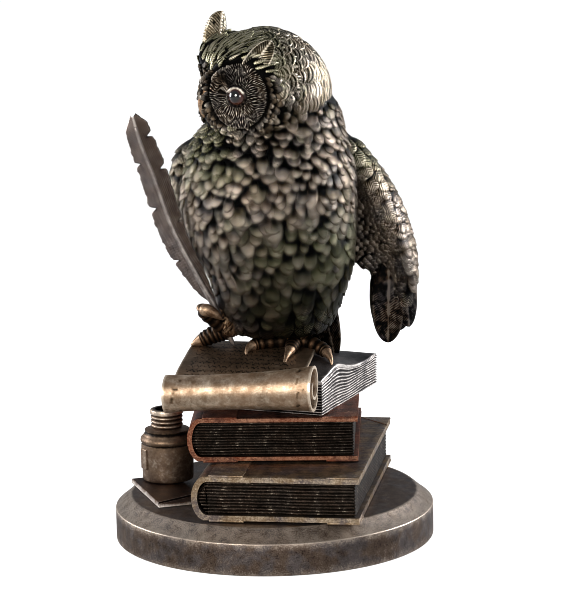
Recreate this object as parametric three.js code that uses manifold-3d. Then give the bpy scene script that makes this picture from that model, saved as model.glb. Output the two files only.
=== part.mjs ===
// A desk figurine of an eared owl with a quill, standing on a parchment, a manuscript and two books.
// Millimetres, +Z up. The origin is the centre of the plinth's underside, and the owl's breast faces -Y.
import * as THREE from 'three';
import { mergeVertices } from 'three/addons/utils/BufferGeometryUtils.js';
import Module from 'manifold-3d';

const wasm = await Module();
wasm.setup();

// Driving dimensions
const GAP = 0.3;
const SMALLEST_STEP = 0.15;

const PLINTH_RADIUS = 75;
const PLINTH_WALL_HEIGHT = 15.2;
const PLINTH_FLAT_RADIUS = 67.7;
const PLINTH_HEIGHT = 20.7;

const LOWER_BOOK = { width: 77, depth: 118, height: 21.3, board: 2.8, bulge: 7.5, turn: -9.1, pages: 7 };
const LOWER_BOOK_PLACE = [9.6, -3.2];
const UPPER_BOOK = { width: 78.5, depth: 97, height: 20.7, board: 2.2, bulge: 6.5, turn: -2.5, pages: 7 };
const UPPER_BOOK_PLACE = [1.8, 12.4];

const STACK_CORNER = [22.8, -36.4];
const STACK_TURN = -22.4;
const STACK_LENGTH = 73;
const STACK_WIDTH = 62;
const STACK_LEAVES = 6;

const SHEET_CORNER = [-48.2, -45, 78.4];
const SHEET_TURN = -12;
const SHEET_WIDTH = 68.7;
const SHEET_RISE = 4.3;
const SHEET_THICKNESS = 1.3;

const INKWELL_PLACE = [-50.6, 16];
const INKWELL_RADIUS = 12.8;
const INKWELL_WALL = 2.2;
const INKWELL_TOP = 57.3;

const ENVELOPE_TIP = [-53.5, -30];
const ENVELOPE_LENGTH = 50;
const ENVELOPE_DEPTH = 22;
const ENVELOPE_THICKNESS = 1.9;

const HEAD_CENTRE = [0.5, 2, 209.5];
const HEAD_YAW = 22;
const HEAD_TILT = 7;
const HEAD_SIZE = { forward: 29.8, backward: 28.8, side: 30, up: 28.8 };
const EYE_PLACE = { forward: 21, side: 17, up: 3.6 };
const EYE_RADIUS = 4.6;

const BODY_ROWS = 9;
const BODY_FEATHERS = 12;
const COLUMNS_PER_FEATHER = 4;
const FEATHER_LIFT = 1.4;
const FEATHER_TUCK = -0.6;

// Materials
const paint = (color, roughness, metalness) => (
  new THREE.MeshStandardMaterial({ color, roughness, metalness })
);
const plinthBronze = paint('#6b5546', 0.45, 0.7);
const bookBronze = paint('#8a6f52', 0.45, 0.6);
const bookCopper = paint('#7a3d2a', 0.45, 0.6);
const pageBronze = paint('#5b5049', 0.5, 0.6);
const parchmentBronze = paint('#a98a66', 0.4, 0.7);
const bottleBronze = paint('#8c7158', 0.4, 0.7);
const envelopeBronze = paint('#5a4334', 0.5, 0.6);
const quillBronze = paint('#7d6e68', 0.45, 0.6);
const owlBronze = paint('#4b4634', 0.5, 0.6);
const eyeGloss = paint('#241612', 0.08, 0);

const vector = (point) => new THREE.Vector3(...point);
const radians = THREE.MathUtils.degToRad;
const mix = THREE.MathUtils.lerp;
const smooth = THREE.MathUtils.smoothstep;

// Solids

// A closed triangle mesh becomes a solid that can be joined and cut.
function solidOf(geometry) {
  const bare = geometry.clone();
  bare.deleteAttribute('normal');
  bare.deleteAttribute('uv');
  const merged = mergeVertices(bare, 1e-4);
  return new wasm.Manifold(new wasm.Mesh({
    numProp: 3,
    vertProperties: new Float32Array(merged.attributes.position.array),
    triVerts: new Uint32Array(merged.index.array),
  }));
}

// The largest body of a solid becomes a named mesh.
function meshOf(name, solid, material) {
  const bodies = solid.simplify(SMALLEST_STEP).decompose();
  bodies.sort((a, b) => b.volume() - a.volume());
  const { vertProperties, triVerts } = bodies[0].getMesh();
  const geometry = new THREE.BufferGeometry();
  geometry.setAttribute('position', new THREE.BufferAttribute(vertProperties, 3));
  geometry.setIndex(new THREE.BufferAttribute(triVerts, 1));
  geometry.computeVertexNormals();
  const mesh = new THREE.Mesh(geometry, material);
  mesh.name = name;
  return mesh;
}

// A solid with a closed skin over a run of rings, each with the same number of points.
// A ribbon's ring runs out along one face and back along the other, so its ends close straight across.
function skin(rings, isRibbon = false) {
  const count = rings[0].length;
  const points = rings.flat();
  const faces = [];
  for (let row = 0; row + 1 < rings.length; row += 1) {
    for (let i = 0; i < count; i += 1) {
      const here = row * count + i;
      const beside = row * count + ((i + 1) % count);
      faces.push(here, beside, beside + count, here, beside + count, here + count);
    }
  }
  for (const end of [0, rings.length - 1]) {
    const start = end * count;
    const cap = [];
    if (isRibbon) {
      for (let i = 0; i + 1 < count / 2; i += 1) {
        const across = start + count - 1 - i;
        cap.push([start + i, start + i + 1, across], [start + i + 1, across - 1, across]);
      }
    } else {
      const middle = new THREE.Vector3();
      rings[end].forEach((point) => middle.addScaledVector(point, 1 / count));
      points.push(middle);
      for (let i = 0; i < count; i += 1) cap.push([start + i, start + ((i + 1) % count), points.length - 1]);
    }
    faces.push(...cap.flatMap((face) => (end === 0 ? face.reverse() : face)));
  }
  let volume = 0;
  for (let i = 0; i < faces.length; i += 3) {
    const [a, b, c] = faces.slice(i, i + 3).map((index) => points[index]);
    volume += a.dot(b.clone().cross(c));
  }
  const geometry = new THREE.BufferGeometry().setFromPoints(points);
  geometry.setIndex(volume > 0 ? faces : faces.reverse());
  return solidOf(geometry);
}

const union = (solids) => solids.reduce((whole, solid) => whole.add(solid));

// A smooth run of values through the keys [position, value, value, ...].
function through(keys) {
  const places = keys.map((key) => key[0]);
  const values = keys.flatMap((key) => key.slice(1));
  const curve = new THREE.CubicInterpolant(places, values, keys[0].length - 1);
  return (place) => Array.from(curve.evaluate(place));
}

// A round limb of changing thickness along a curve: path points are [x, y, z, radius].
function limb(path, sides = 8, steps = 8) {
  const curve = new THREE.CatmullRomCurve3(path.map(([x, y, z]) => new THREE.Vector3(x, y, z)));
  const frames = curve.computeFrenetFrames(steps);
  const rings = [];
  for (let step = 0; step <= steps; step += 1) {
    const along = step / steps;
    const key = Math.min(along * (path.length - 1), path.length - 1.001);
    const radius = mix(path[Math.floor(key)][3], path[Math.floor(key) + 1][3], key % 1);
    const centre = curve.getPoint(along);
    rings.push(Array.from({ length: sides }, (_, i) => {
      const angle = (i / sides) * 2 * Math.PI;
      return centre.clone()
        .addScaledVector(frames.normals[step], radius * Math.cos(angle))
        .addScaledVector(frames.binormals[step], radius * Math.sin(angle));
    }));
  }
  return skin(rings);
}

// A long feather: a thin, slightly arched blade with a raised shaft, from root to tip.
function blade({ root, tip, face, width, thickness = 1.6, steps = 4 }) {
  const start = vector(root);
  const run = vector(tip).sub(start);
  const across = run.clone().cross(vector(face)).normalize();
  const out = across.clone().cross(run).normalize();
  const rings = [];
  for (let step = 0; step <= steps; step += 1) {
    const along = step / steps;
    const half = width * 0.5 * (0.45 + 0.55 * smooth(along, 0, 0.5))
      * Math.sqrt(Math.max(1 - Math.max((along - 0.55) / 0.47, 0) ** 2, 0));
    const thick = thickness * 0.5 * (1 - 0.4 * along);
    const centre = start.clone().addScaledVector(run, along);
    const edge = [[-1, 0], [0, 1.2], [1, 0], [0, -1]];
    rings.push(edge.map(([a, o]) => centre.clone()
      .addScaledVector(across, a * half)
      .addScaledVector(out, o * thick - a * a * half * 0.12)));
  }
  return skin(rings);
}

// How near a column of a feather row is to a feather's tip: 0 between two feathers, 1 at a tip.
const tipAt = (column, row) => Math.sin(Math.PI * ((column / COLUMNS_PER_FEATHER + 0.5 * (row % 2)) % 1));

// A body clad in rows of overlapping feathers. shape(along, around, lift) gives a point of its skin.
function featheredSkin({ shape, rows, feathers, lap, lift = FEATHER_LIFT, tuck = FEATHER_TUCK, ends }) {
  const columns = feathers * COLUMNS_PER_FEATHER;
  const ring = (height, raise) => (
    Array.from({ length: columns }, (_, i) => shape(height(i), i / columns, raise(i)))
  );
  const rings = [ring(() => ends[0], () => tuck)];
  for (let row = 0; row < rows; row += 1) {
    const top = row / rows;
    const low = (row + 1) / rows;
    const tipShare = (i) => tipAt(i, row);
    rings.push(ring(() => top, () => tuck));
    rings.push(ring((i) => low + lap * (tipShare(i) - 0.5), (i) => lift * (1.25 * tipShare(i) - 0.25)));
  }
  rings.push(ring(() => 1, () => tuck));
  rings.push(ring(() => ends[1], () => tuck));
  return skin(rings);
}

// Plinth

function makePlinth() {
  const edge = 0.7;
  const profile = [
    [0, 0],
    [PLINTH_RADIUS - edge, 0],
    [PLINTH_RADIUS, edge],
    [PLINTH_RADIUS, PLINTH_WALL_HEIGHT - edge],
    [PLINTH_RADIUS - edge, PLINTH_WALL_HEIGHT],
    [PLINTH_FLAT_RADIUS, PLINTH_HEIGHT],
    [0, PLINTH_HEIGHT],
  ];
  return solidOf(new THREE.LatheGeometry(profile.map(([r, z]) => new THREE.Vector2(r, z)), 48)
    .rotateX(Math.PI / 2));
}

// Books

// A closed book lying flat: boards and round spine on -X, leaves set back from the boards.
function makeBook({ width, depth, height, board, bulge, turn, pages }, [x, y], bottom) {
  const right = width / 2;
  const spine = bulge - width / 2;
  const arc = (reach, half, steps, sign) => Array.from({ length: steps + 1 }, (_, i) => {
    const angle = Math.PI / 2 - sign * (i / steps) * Math.PI;
    return [spine - reach * Math.abs(Math.cos(angle)), height / 2 + half * Math.sin(angle)];
  });
  const outline = [
    [right, height],
    ...arc(bulge, height / 2, 8, 1),
    [right, 0],
    [right, board],
    ...arc(bulge - board, height / 2 - board, 8, 1).reverse(),
    [right, height - board],
  ];
  const cover = solidOf(new THREE.ExtrudeGeometry(
    new THREE.Shape(outline.map(([px, pz]) => new THREE.Vector2(px, pz))),
    { depth, bevelEnabled: false },
  ).translate(0, 0, -depth / 2).rotateX(Math.PI / 2));
  const setBack = 2;
  const leafRings = [];
  for (let line = 0; line <= pages * 2; line += 1) {
    const inset = setBack + (line % 2 ? 0.5 : 0);
    const z = mix(board - 0.4, height - board + 0.4, line / (pages * 2));
    const swell = Math.sin(Math.PI * line / (pages * 2));
    const left = spine - (bulge - board + 0.4) * swell;
    leafRings.push([
      new THREE.Vector3(left, -depth / 2 + inset, z),
      new THREE.Vector3(right - inset, -depth / 2 + inset, z),
      new THREE.Vector3(right - inset, depth / 2 - inset, z),
      new THREE.Vector3(left, depth / 2 - inset, z),
    ]);
  }
  const corner = (sx, sy, z) => {
    const reach = 15;
    const shape = new THREE.Shape([
      new THREE.Vector2(0, 0),
      new THREE.Vector2(-reach * sx, 0),
      new THREE.Vector2(0, -reach * sy),
    ]);
    const plate = new THREE.ExtrudeGeometry(shape, { depth: 1, bevelEnabled: false });
    return solidOf(plate.translate(sx * (right + 0.25), sy * (depth / 2 + 0.25), z));
  };
  const backStrip = new THREE.BoxGeometry(16, depth + 0.5, 1);
  const parts = [cover, skin(leafRings)];
  for (const sy of [-1, 1]) {
    parts.push(corner(1, sy, height - 0.7), corner(1, sy, -0.3));
  }
  const strips = [height - 0.2, 0.2].map((z) => solidOf(backStrip.clone().translate(spine + 8.6, 0, z)));
  return union([...parts, ...strips])
    .rotate([0, 0, turn])
    .translate([x, y, bottom + GAP]);
}

const lowerBookTop = PLINTH_HEIGHT + GAP + 0.3 + LOWER_BOOK.height + 0.3;
const upperBookTop = lowerBookTop + GAP + 0.3 + UPPER_BOOK.height + 0.3;

// Manuscript and parchment

const turned = (angle) => ({
  along: new THREE.Vector3(Math.cos(radians(angle)), Math.sin(radians(angle)), 0),
  back: new THREE.Vector3(-Math.sin(radians(angle)), Math.cos(radians(angle)), 0),
});

// The buckled manuscript: the top follows a wave along its fore-edge, and rises inside.
const stackWave = through([
  [0, 80.6],
  [0.12, 82],
  [0.3, 84],
  [0.5, 80.6],
  [0.65, 78.8],
  [0.8, 78.4],
  [1, 79.2],
]);

function makePageStack() {
  const { along, back } = turned(STACK_TURN);
  const corner = new THREE.Vector3(...STACK_CORNER, upperBookTop + GAP);
  const rings = [];
  const edgeSteps = 7;
  const sideSteps = 3;
  for (let line = 0; line <= STACK_LEAVES * 2; line += 1) {
    const share = line / (STACK_LEAVES * 2);
    const inset = line % 2 ? 0.7 : 0;
    const ring = [];
    const place = (t, w) => {
      const depthways = mix(inset, STACK_LENGTH - inset, t);
      const widthways = mix(inset, STACK_WIDTH - inset, w);
      const bulgeInside = 4.2 * Math.sin(Math.PI * Math.min(w * 1.5, 1)) * Math.sin(Math.PI * t);
      const height = stackWave(t)[0] + bulgeInside * (w > 0 ? 1 : 0) - corner.z;
      const lift = share * height;
      return corner.clone()
        .addScaledVector(back, depthways)
        .addScaledVector(along, -widthways)
        .add(new THREE.Vector3(0, 0, lift));
    };
    for (let i = 0; i < edgeSteps; i += 1) ring.push(place(i / edgeSteps, 0));
    for (let i = 0; i < sideSteps; i += 1) ring.push(place(1, i / sideSteps));
    for (let i = 0; i < edgeSteps; i += 1) ring.push(place(1 - i / edgeSteps, 1));
    for (let i = 0; i < sideSteps; i += 1) ring.push(place(0, 1 - i / sideSteps));
    rings.push(ring);
  }
  return skin(rings);
}

// The sheet's middle line in section, from the inner end of the roll to the back edge.
// Each point is [back, up, roll share], with the roll share in units of the roll's radius.
function sheetSection() {
  const roll = [
    [-235, 0.36],
    [-200, 0.38],
    [-150, 0.38],
    [-105, 0.42],
    [-65, 0.55],
    [-30, 0.75],
    [0, 0.9],
    [30, 0.97],
    [60, 1],
    [90, 1],
    [120, 1],
    [150, 1],
    [180, 1],
    [210, 1],
    [240, 1],
    [270, 1],
    [295, 1.02],
  ];
  const hump = [
    [10.8, 76],
    [13.2, 79.5],
    [16.5, 82.2],
    [22, 83.8],
    [30, 85.6],
    [38, 87.2],
    [46, 88.7],
    [54, 89.5],
    [61, 89.6],
    [68, 88.2],
    [75, 85.6],
    [80, 83],
  ];
  const rolled = roll.map(([angle, share]) => ({
    back: share * Math.cos(radians(angle)),
    up: share * Math.sin(radians(angle)),
    rolled: true,
  }));
  const laid = hump.map(([back, up]) => ({ back, up, rolled: false }));
  return [...rolled, ...laid];
}

function makeSheet(thickness) {
  const { along, back } = turned(SHEET_TURN);
  const section = sheetSection();
  const last = section.length - 1;
  const acrossSteps = 4;
  const middle = (share, across) => {
    const radius = 7.1 + 5.6 * (across - 0.42) ** 2 + 0.8 * across;
    const rollHeight = SHEET_CORNER[2] + SHEET_RISE * across;
    const narrow = share.rolled ? 0 : 9 * smooth(share.back, 9, 20);
    const waver = share.rolled ? 0 : 2.5 * smooth(share.back, 55, 80);
    const wide = mix(waver, SHEET_WIDTH - narrow, across);
    const slope = (1 - smooth(share.back, 9, 22)) * (across - 0.5) * 3;
    const height = share.rolled ? rollHeight + share.up * radius : share.up + slope;
    return new THREE.Vector3(SHEET_CORNER[0], SHEET_CORNER[1], 0)
      .addScaledVector(along, wide)
      .addScaledVector(back, share.rolled ? share.back * radius : share.back)
      .setZ(height);
  };
  const rings = [];
  for (let step = 0; step <= acrossSteps; step += 1) {
    const across = step / acrossSteps;
    const line = section.map((share) => middle(share, across));
    const offset = (index, side) => {
      const ahead = line[Math.min(index + 1, last)].clone().sub(line[Math.max(index - 1, 0)]);
      const normal = ahead.cross(along).normalize();
      return line[index].clone().addScaledVector(normal, side * thickness / 2);
    };
    rings.push([
      ...section.map((_, index) => offset(index, 1)),
      ...section.map((_, index) => offset(last - index, -1)),
    ]);
  }
  if (thickness > SHEET_THICKNESS) {
    const spare = thickness - SHEET_THICKNESS;
    rings[0].forEach((point) => point.addScaledVector(along, -spare));
    rings[acrossSteps].forEach((point) => point.addScaledVector(along, spare));
  }
  return skin(rings, true);
}

// Inkwell and envelope

function makeInkwell() {
  const floor = PLINTH_HEIGHT + GAP + ENVELOPE_THICKNESS + GAP;
  const r = INKWELL_RADIUS;
  const neck = 7.6;
  const outside = [
    [0, 0],
    [r - 1.6, 0],
    [r - 0.7, 0.9],
    [r - 0.2, 17.5],
    [r, 19],
    [r - 0.3, 20.6],
    [r - 1.4, 21.4],
    [r - 2.4, 23.2],
    [neck + 1.6, 24.9],
    [neck - 0.6, 25.2],
    [neck - 0.7, 26.2],
    [neck - 0.1, 27.1],
    [neck - 0.8, 28.1],
    [neck, 29.2],
    [neck - 0.7, 30.3],
    [neck + 0.2, 31.8],
    [neck + 0.1, INKWELL_TOP - floor - 0.5],
    [neck - 0.5, INKWELL_TOP - floor],
  ];
  const inside = [
    [neck - INKWELL_WALL, INKWELL_TOP - floor],
    [neck - INKWELL_WALL, 24.5],
    [r - INKWELL_WALL - 1.6, 20.5],
    [r - INKWELL_WALL, 17.5],
    [r - INKWELL_WALL - 0.5, INKWELL_WALL + 0.6],
    [r - INKWELL_WALL - 1.4, INKWELL_WALL],
    [0, INKWELL_WALL],
  ];
  const profile = [...outside, ...inside].map(([radius, z]) => new THREE.Vector2(radius, z));
  const bottle = solidOf(new THREE.LatheGeometry(profile, 16).rotateX(Math.PI / 2));
  const label = new THREE.BoxGeometry(1.2, 5.5, 9.5).translate(-(r - 0.5), 0, 11);
  return bottle
    .add(solidOf(label.rotateZ(radians(28))))
    .translate([...INKWELL_PLACE, floor]);
}

function makeEnvelope() {
  const { along, back } = turned(17.5);
  const tip = new THREE.Vector3(...ENVELOPE_TIP, PLINTH_HEIGHT + GAP);
  const place = (wide, deep, up) => tip.clone()
    .addScaledVector(along, wide)
    .addScaledVector(back, deep)
    .add(new THREE.Vector3(0, 0, up));
  const w = ENVELOPE_DEPTH;
  const l = ENVELOPE_LENGTH;
  const bodyHeight = ENVELOPE_THICKNESS - 0.5;
  const outline = [[0, 0], [w, 0], [w, l], [0, l]];
  const body = skin([0, bodyHeight].map((up) => outline.map(([x, y]) => place(x, y, up))));
  const flapOutline = [[0.6, 0.6], [w - 5, 9], [w - 5, l - 9], [2.4, l - 2]];
  const flapHeights = [bodyHeight - 0.3, ENVELOPE_THICKNESS];
  const flap = skin(flapHeights.map((up) => flapOutline.map(([x, y]) => place(x, y, up))));
  return body.add(flap);
}

// Quill

const quillLine = through([
  [0, -17.2, 2.2, 90.2, 0, 0],
  [0.14, -23, 0.6, 102, 0, 0],
  [0.18, -25.2, -0.9, 108, 0.6, 0.6],
  [0.26, -29.2, -2.1, 115.6, 4, 2.4],
  [0.38, -34.8, -4, 127.2, 6.6, 3.6],
  [0.5, -40, -5.9, 137.9, 7.6, 4.2],
  [0.64, -46.2, -8.2, 153, 7.5, 5.6],
  [0.78, -52.4, -11.6, 173.2, 6.8, 6.6],
  [0.9, -57.4, -14, 187.3, 5.9, 6.4],
  [0.965, -59.8, -15.6, 196.3, 4.9, 5],
  [1, -61, -16.3, 201.4, 1.2, 1.4],
]);

function makeQuill(grow = 0) {
  const shaftSteps = 14;
  const shaftPath = Array.from({ length: shaftSteps + 1 }, (_, i) => {
    const along = (i / shaftSteps) * 0.97;
    const [x, y, z] = quillLine(along);
    const nib = 0.45 + 1.1 * smooth(along, 0, 0.08);
    return [x, y - 0.2, z, mix(nib, 0.8, smooth(along, 0.15, 1)) + grow];
  });
  const shaft = limb(shaftPath, 5, 9);
  const rings = [];
  const vaneSteps = 10;
  for (let step = 0; step <= vaneSteps; step += 1) {
    const along = mix(0.18, 1, step / vaneSteps);
    const [x, y, z, left, right] = quillLine(along);
    const across = new THREE.Vector3(0.9, -0.1, 0.42).normalize();
    const centre = new THREE.Vector3(x, y, z);
    const edge = [[-1, 0], [-0.5, 0.9], [0.5, 0.9], [1, 0], [0.5, -0.9], [-0.5, -0.9]];
    rings.push(edge.map(([a, o]) => centre.clone()
      .addScaledVector(across, a * ((a < 0 ? left : right) + grow))
      .add(new THREE.Vector3(0, -o * (0.75 + grow) + a * a * 1.4, 0))));
  }
  return shaft.add(skin(rings));
}

// Owl

const torsoLine = through([
  [88, 4, 9, 8, 8],
  [96, 4, 9, 20, 18],
  [103, 4, 9.5, 25.5, 24],
  [110, 4, 9, 28.4, 27],
  [120, 4.6, 7.5, 31.3, 30],
  [129, 4, 6, 34.3, 32.5],
  [136, 2.2, 5, 36.6, 34],
  [143, 1.4, 4, 38, 35],
  [151, 0.4, 3, 39.1, 36],
  [161, 0, 2, 39.9, 36.5],
  [170, 0.4, 1.5, 39.2, 36],
  [179, 0.7, 1.5, 38, 34.5],
  [187, 1, 2, 35.2, 32],
  [194, 3, 2.6, 31.6, 29],
  [200, 4.2, 3, 29, 26.5],
  [206, 5, 3.2, 26.4, 25],
  [211, 5.2, 3.2, 22.6, 21.5],
]);

function makeTorso() {
  const shape = (along, around, lift) => {
    const z = mix(208, 100, along);
    const [cx, cy, rx, ry] = torsoLine(z);
    const angle = around * 2 * Math.PI;
    return new THREE.Vector3(cx + (rx + lift) * Math.cos(angle), cy + (ry + lift) * Math.sin(angle), z);
  };
  return featheredSkin({ shape, rows: BODY_ROWS, feathers: BODY_FEATHERS, lap: 0.042, ends: [-0.02, 1.07] });
}

// The head's own axes: forward along the beak, side towards the owl's left ear, and up.
const headAxes = new THREE.Matrix4().makeTranslation(...HEAD_CENTRE)
  .multiply(new THREE.Matrix4().makeRotationZ(radians(180 + HEAD_YAW)))
  .multiply(new THREE.Matrix4().makeRotationX(radians(-HEAD_TILT)));
const inHead = (forward, side, up) => new THREE.Vector3(forward, side, up).applyMatrix4(headAxes);

// The bare head's surface in its own axes, at an angle from the beak's axis and around it.
function headSurface(fromFace, around, lift) {
  const f = Math.cos(fromFace);
  const s = Math.sin(fromFace) * Math.cos(around);
  const u = Math.sin(fromFace) * Math.sin(around);
  const power = f > 0 ? 2.25 : 1.8;
  const forward = f > 0 ? HEAD_SIZE.forward : HEAD_SIZE.backward;
  const { side, up } = HEAD_SIZE;
  const wide = Math.hypot(s / side, u / up);
  const reach = (Math.abs(f / forward) ** power + wide ** power) ** (-1 / power);
  const point = new THREE.Vector3(f * reach, s * reach, u * reach);
  const normal = new THREE.Vector3(
    Math.sign(f) * Math.abs(point.x / forward) ** (power - 1) / forward,
    point.y / side ** 2,
    point.z / up ** 2,
  ).normalize();
  return point.addScaledVector(normal, lift);
}

// A smooth bump of height 1 at zero, fading out over the given width.
const bump = (offset, width) => Math.exp(-((offset / width) ** 2));

// How far the face stands out from the bare head: brows, hollow discs round the eyes and their ruff.
function faceRelief(point) {
  if (point.x < 2) return 0;
  const side = Math.abs(point.y);
  const up = point.z;
  const ahead = (point.x - EYE_PLACE.forward) * 0.6;
  const fromEye = Math.hypot(side - EYE_PLACE.side, up - EYE_PLACE.up + 1.5, ahead);
  const disc = -3.2 * (1 - smooth(fromEye, 6, 14.5));
  const ruff = 1.3 * bump(fromEye - 16.5, 1.8) * (up < 12 ? 1 : 0.2);
  const browHeight = 7.2 + side * 0.78;
  const brow = 3.4 * bump(up - browHeight, 3) * smooth(side, 2, 9) * smooth(point.x, 2, 12);
  const hollow = -2.6 * bump(side - 9.5, 4) * bump(up - 5, 5);
  const bill = 1.8 * bump(side, 3.5) * (1 - smooth(up, 0, 12));
  const forehead = 2.6 * bump(up - 17, 6.5) * smooth(point.x, 2, 10);
  return disc + ruff + brow + hollow + bill + forehead;
}

function makeHead() {
  const shape = (along, around, lift) => {
    const fromFace = along * Math.PI;
    const bare = headSurface(fromFace, around * 2 * Math.PI, 0);
    const raise = faceRelief(bare) + lift;
    const point = headSurface(fromFace, around * 2 * Math.PI, raise);
    return inHead(point.x, point.y, point.z);
  };
  const columns = 30;
  const rings = [];
  const ring = (along, lift) => {
    rings.push(Array.from({ length: columns }, (_, i) => shape(along(i), i / columns, lift(i))));
  };
  const faceRings = 10;
  for (let i = 1; i <= faceRings; i += 1) ring(() => (i / faceRings) * 0.46, () => 0);
  const rows = 4;
  for (let row = 0; row < rows; row += 1) {
    const low = mix(0.46, 0.86, (row + 1) / rows);
    ring((i) => low + 0.022 * tipAt(i, row), (i) => 1.2 * (1.25 * tipAt(i, row) - 0.25));
    ring(() => low, () => -0.6);
  }
  ring(() => 0.95, () => -0.6);
  return skin(rings);
}

function makeEarTuft(side) {
  const root = inHead(19, side * 17, 12);
  const tip = side > 0 ? inHead(8.5, 24, 30) : inHead(15.4, -21, 34.6);
  const face = side > 0 ? inHead(4, 9, 0) : inHead(2, -9, 0);
  return blade({
    root: root.toArray(),
    tip: tip.toArray(),
    face: face.sub(inHead(0, 0, 0)).toArray(),
    width: side > 0 ? 11 : 13,
    thickness: 3.4,
  });
}

function makeBeak() {
  const path = [
    [27, 0, 5, 3.6],
    [30.4, 0, 1.5, 3.3],
    [32, 0, -4, 2.4],
    [31.4, 0, -9.5, 0.7],
  ];
  return limb(path.map(([f, s, u, radius]) => [...inHead(f, s, u).toArray(), radius]), 6, 5);
}

// The wing on the owl's left hangs half open, with its front edge towards the breast's side.
// Each key is [height, inner x, inner y, front x, front y, outer x, outer y].
const nearWingLine = through([
  [104, 50, 16.5, 57, 12, 66, 18],
  [114, 49, 16, 60, 9, 67.4, 18.5],
  [122, 46.8, 15.5, 61, 6.5, 67.8, 19],
  [126.5, 41, 15.2, 60.4, 5.4, 67.4, 19],
  [131, 34, 15, 59.3, 4.4, 66.9, 19],
  [140, 34, 14, 57, 3.4, 65, 19],
  [152, 33, 12, 52, 2, 61.5, 17.5],
  [164, 33, 10, 46, 0.5, 56, 15.5],
  [175, 30, 8, 39, 0, 49, 13.5],
  [184, 27, 7, 34, 1.5, 42, 11.5],
  [191, 24, 7, 29, 4, 34.5, 9.5],
]);

function makeNearWing() {
  const shape = (along, around, lift) => {
    const z = mix(190, 110, along);
    const [ix, iy, fx, fy, ox, oy] = nearWingLine(z);
    const outline = new THREE.CatmullRomCurve3([
      new THREE.Vector3(ix, iy, 0),
      new THREE.Vector3(mix(ix, fx, 0.5) + 1, mix(iy, fy, 0.5) + 1, 0),
      new THREE.Vector3(fx, fy, 0),
      new THREE.Vector3(mix(fx, ox, 0.55) + 2.2, mix(fy, oy, 0.45) - 1.5, 0),
      new THREE.Vector3(ox, oy, 0),
      new THREE.Vector3(mix(ix, ox, 0.55), Math.max(iy, oy) + 2.5, 0),
    ], true, 'catmullrom', 0.6);
    const point = outline.getPoint(around);
    const tangent = outline.getTangent(around);
    return new THREE.Vector3(point.x + tangent.y * lift, point.y - tangent.x * lift, z);
  };
  const cover = featheredSkin({ shape, rows: 6, feathers: 4, lap: 0.06, lift: 1.1, ends: [-0.06, 1.03] });
  const primaries = [
    { root: [62, 12, 132], tip: [65, 12.5, 95.6], face: [0.35, -1, 0], width: 12 },
    { root: [56, 11, 130], tip: [55, 10.5, 88.6], face: [0, -1, 0], width: 16 },
    { root: [52, 14, 130], tip: [50.8, 14, 95.8], face: [-0.2, -1, 0], width: 9.5 },
    { root: [61, 16, 132], tip: [60.5, 17, 93], face: [0, 1, 0], width: 14 },
    { root: [66, 14, 128], tip: [67.3, 15, 103], face: [1, -0.4, 0], width: 10 },
  ];
  return union([cover, ...primaries.map((feather) => blade({ ...feather, thickness: 2.6 }))]);
}

// The wing on the owl's right is folded along the back.
// Each key is [height, middle x, middle y, half length, half thickness, angle of its length].
const farWingLine = through([
  [100, -8, 40, 5, 2.5, 35],
  [110, -13, 38.5, 9, 4, 40],
  [122, -20, 33, 13, 5.5, 50],
  [136, -26.5, 27, 16.5, 6.5, 58],
  [150, -31.5, 21, 18, 8.3, 66],
  [163, -34.4, 16, 17.5, 9, 74],
  [174, -34.8, 13, 15.5, 9, 76],
  [183, -31.5, 11, 12.5, 8.4, 74],
  [190, -26, 10, 8, 6.6, 72],
]);

function makeFarWing() {
  const shape = (along, around, lift) => {
    const z = mix(189, 102, along);
    const [mx, my, half, thick, angle] = farWingLine(z);
    const turn = around * 2 * Math.PI;
    const long = (half + lift) * Math.cos(turn);
    const across = (thick + lift) * Math.sin(turn);
    const heading = radians(angle);
    return new THREE.Vector3(
      mx + long * Math.cos(heading) - across * Math.sin(heading),
      my + long * Math.sin(heading) + across * Math.cos(heading),
      z,
    );
  };
  return featheredSkin({ shape, rows: 6, feathers: 3, lap: 0.06, lift: 1.1, ends: [-0.05, 1.02] });
}

function makeTail() {
  const tips = [[-1, 33.5, 85], [8, 33.5, 83], [17, 33, 80.5], [25, 31, 79], [30, 28, 78]];
  return union(tips.map(([x, y, z]) => blade({
    root: [mix(x, 12, 0.45), 27, 124],
    tip: [x, y, z],
    face: [0.15, 1, 0.1],
    width: 12,
    thickness: 3,
  })));
}

// Each leg is a path of [x, y, z, radius], from the belly to the foot.
const LEGS = [
  [[12, 5, 118, 11], [12, 3.5, 108, 10], [11.5, 2, 99, 7.5], [11, 1.5, 92.6, 4.5]],
  [[-9, 5, 116, 10], [-14, 4, 108, 8.5], [-19, 3, 101.5, 5.5], [-21.5, 2.5, 97, 3.6]],
];

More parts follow.
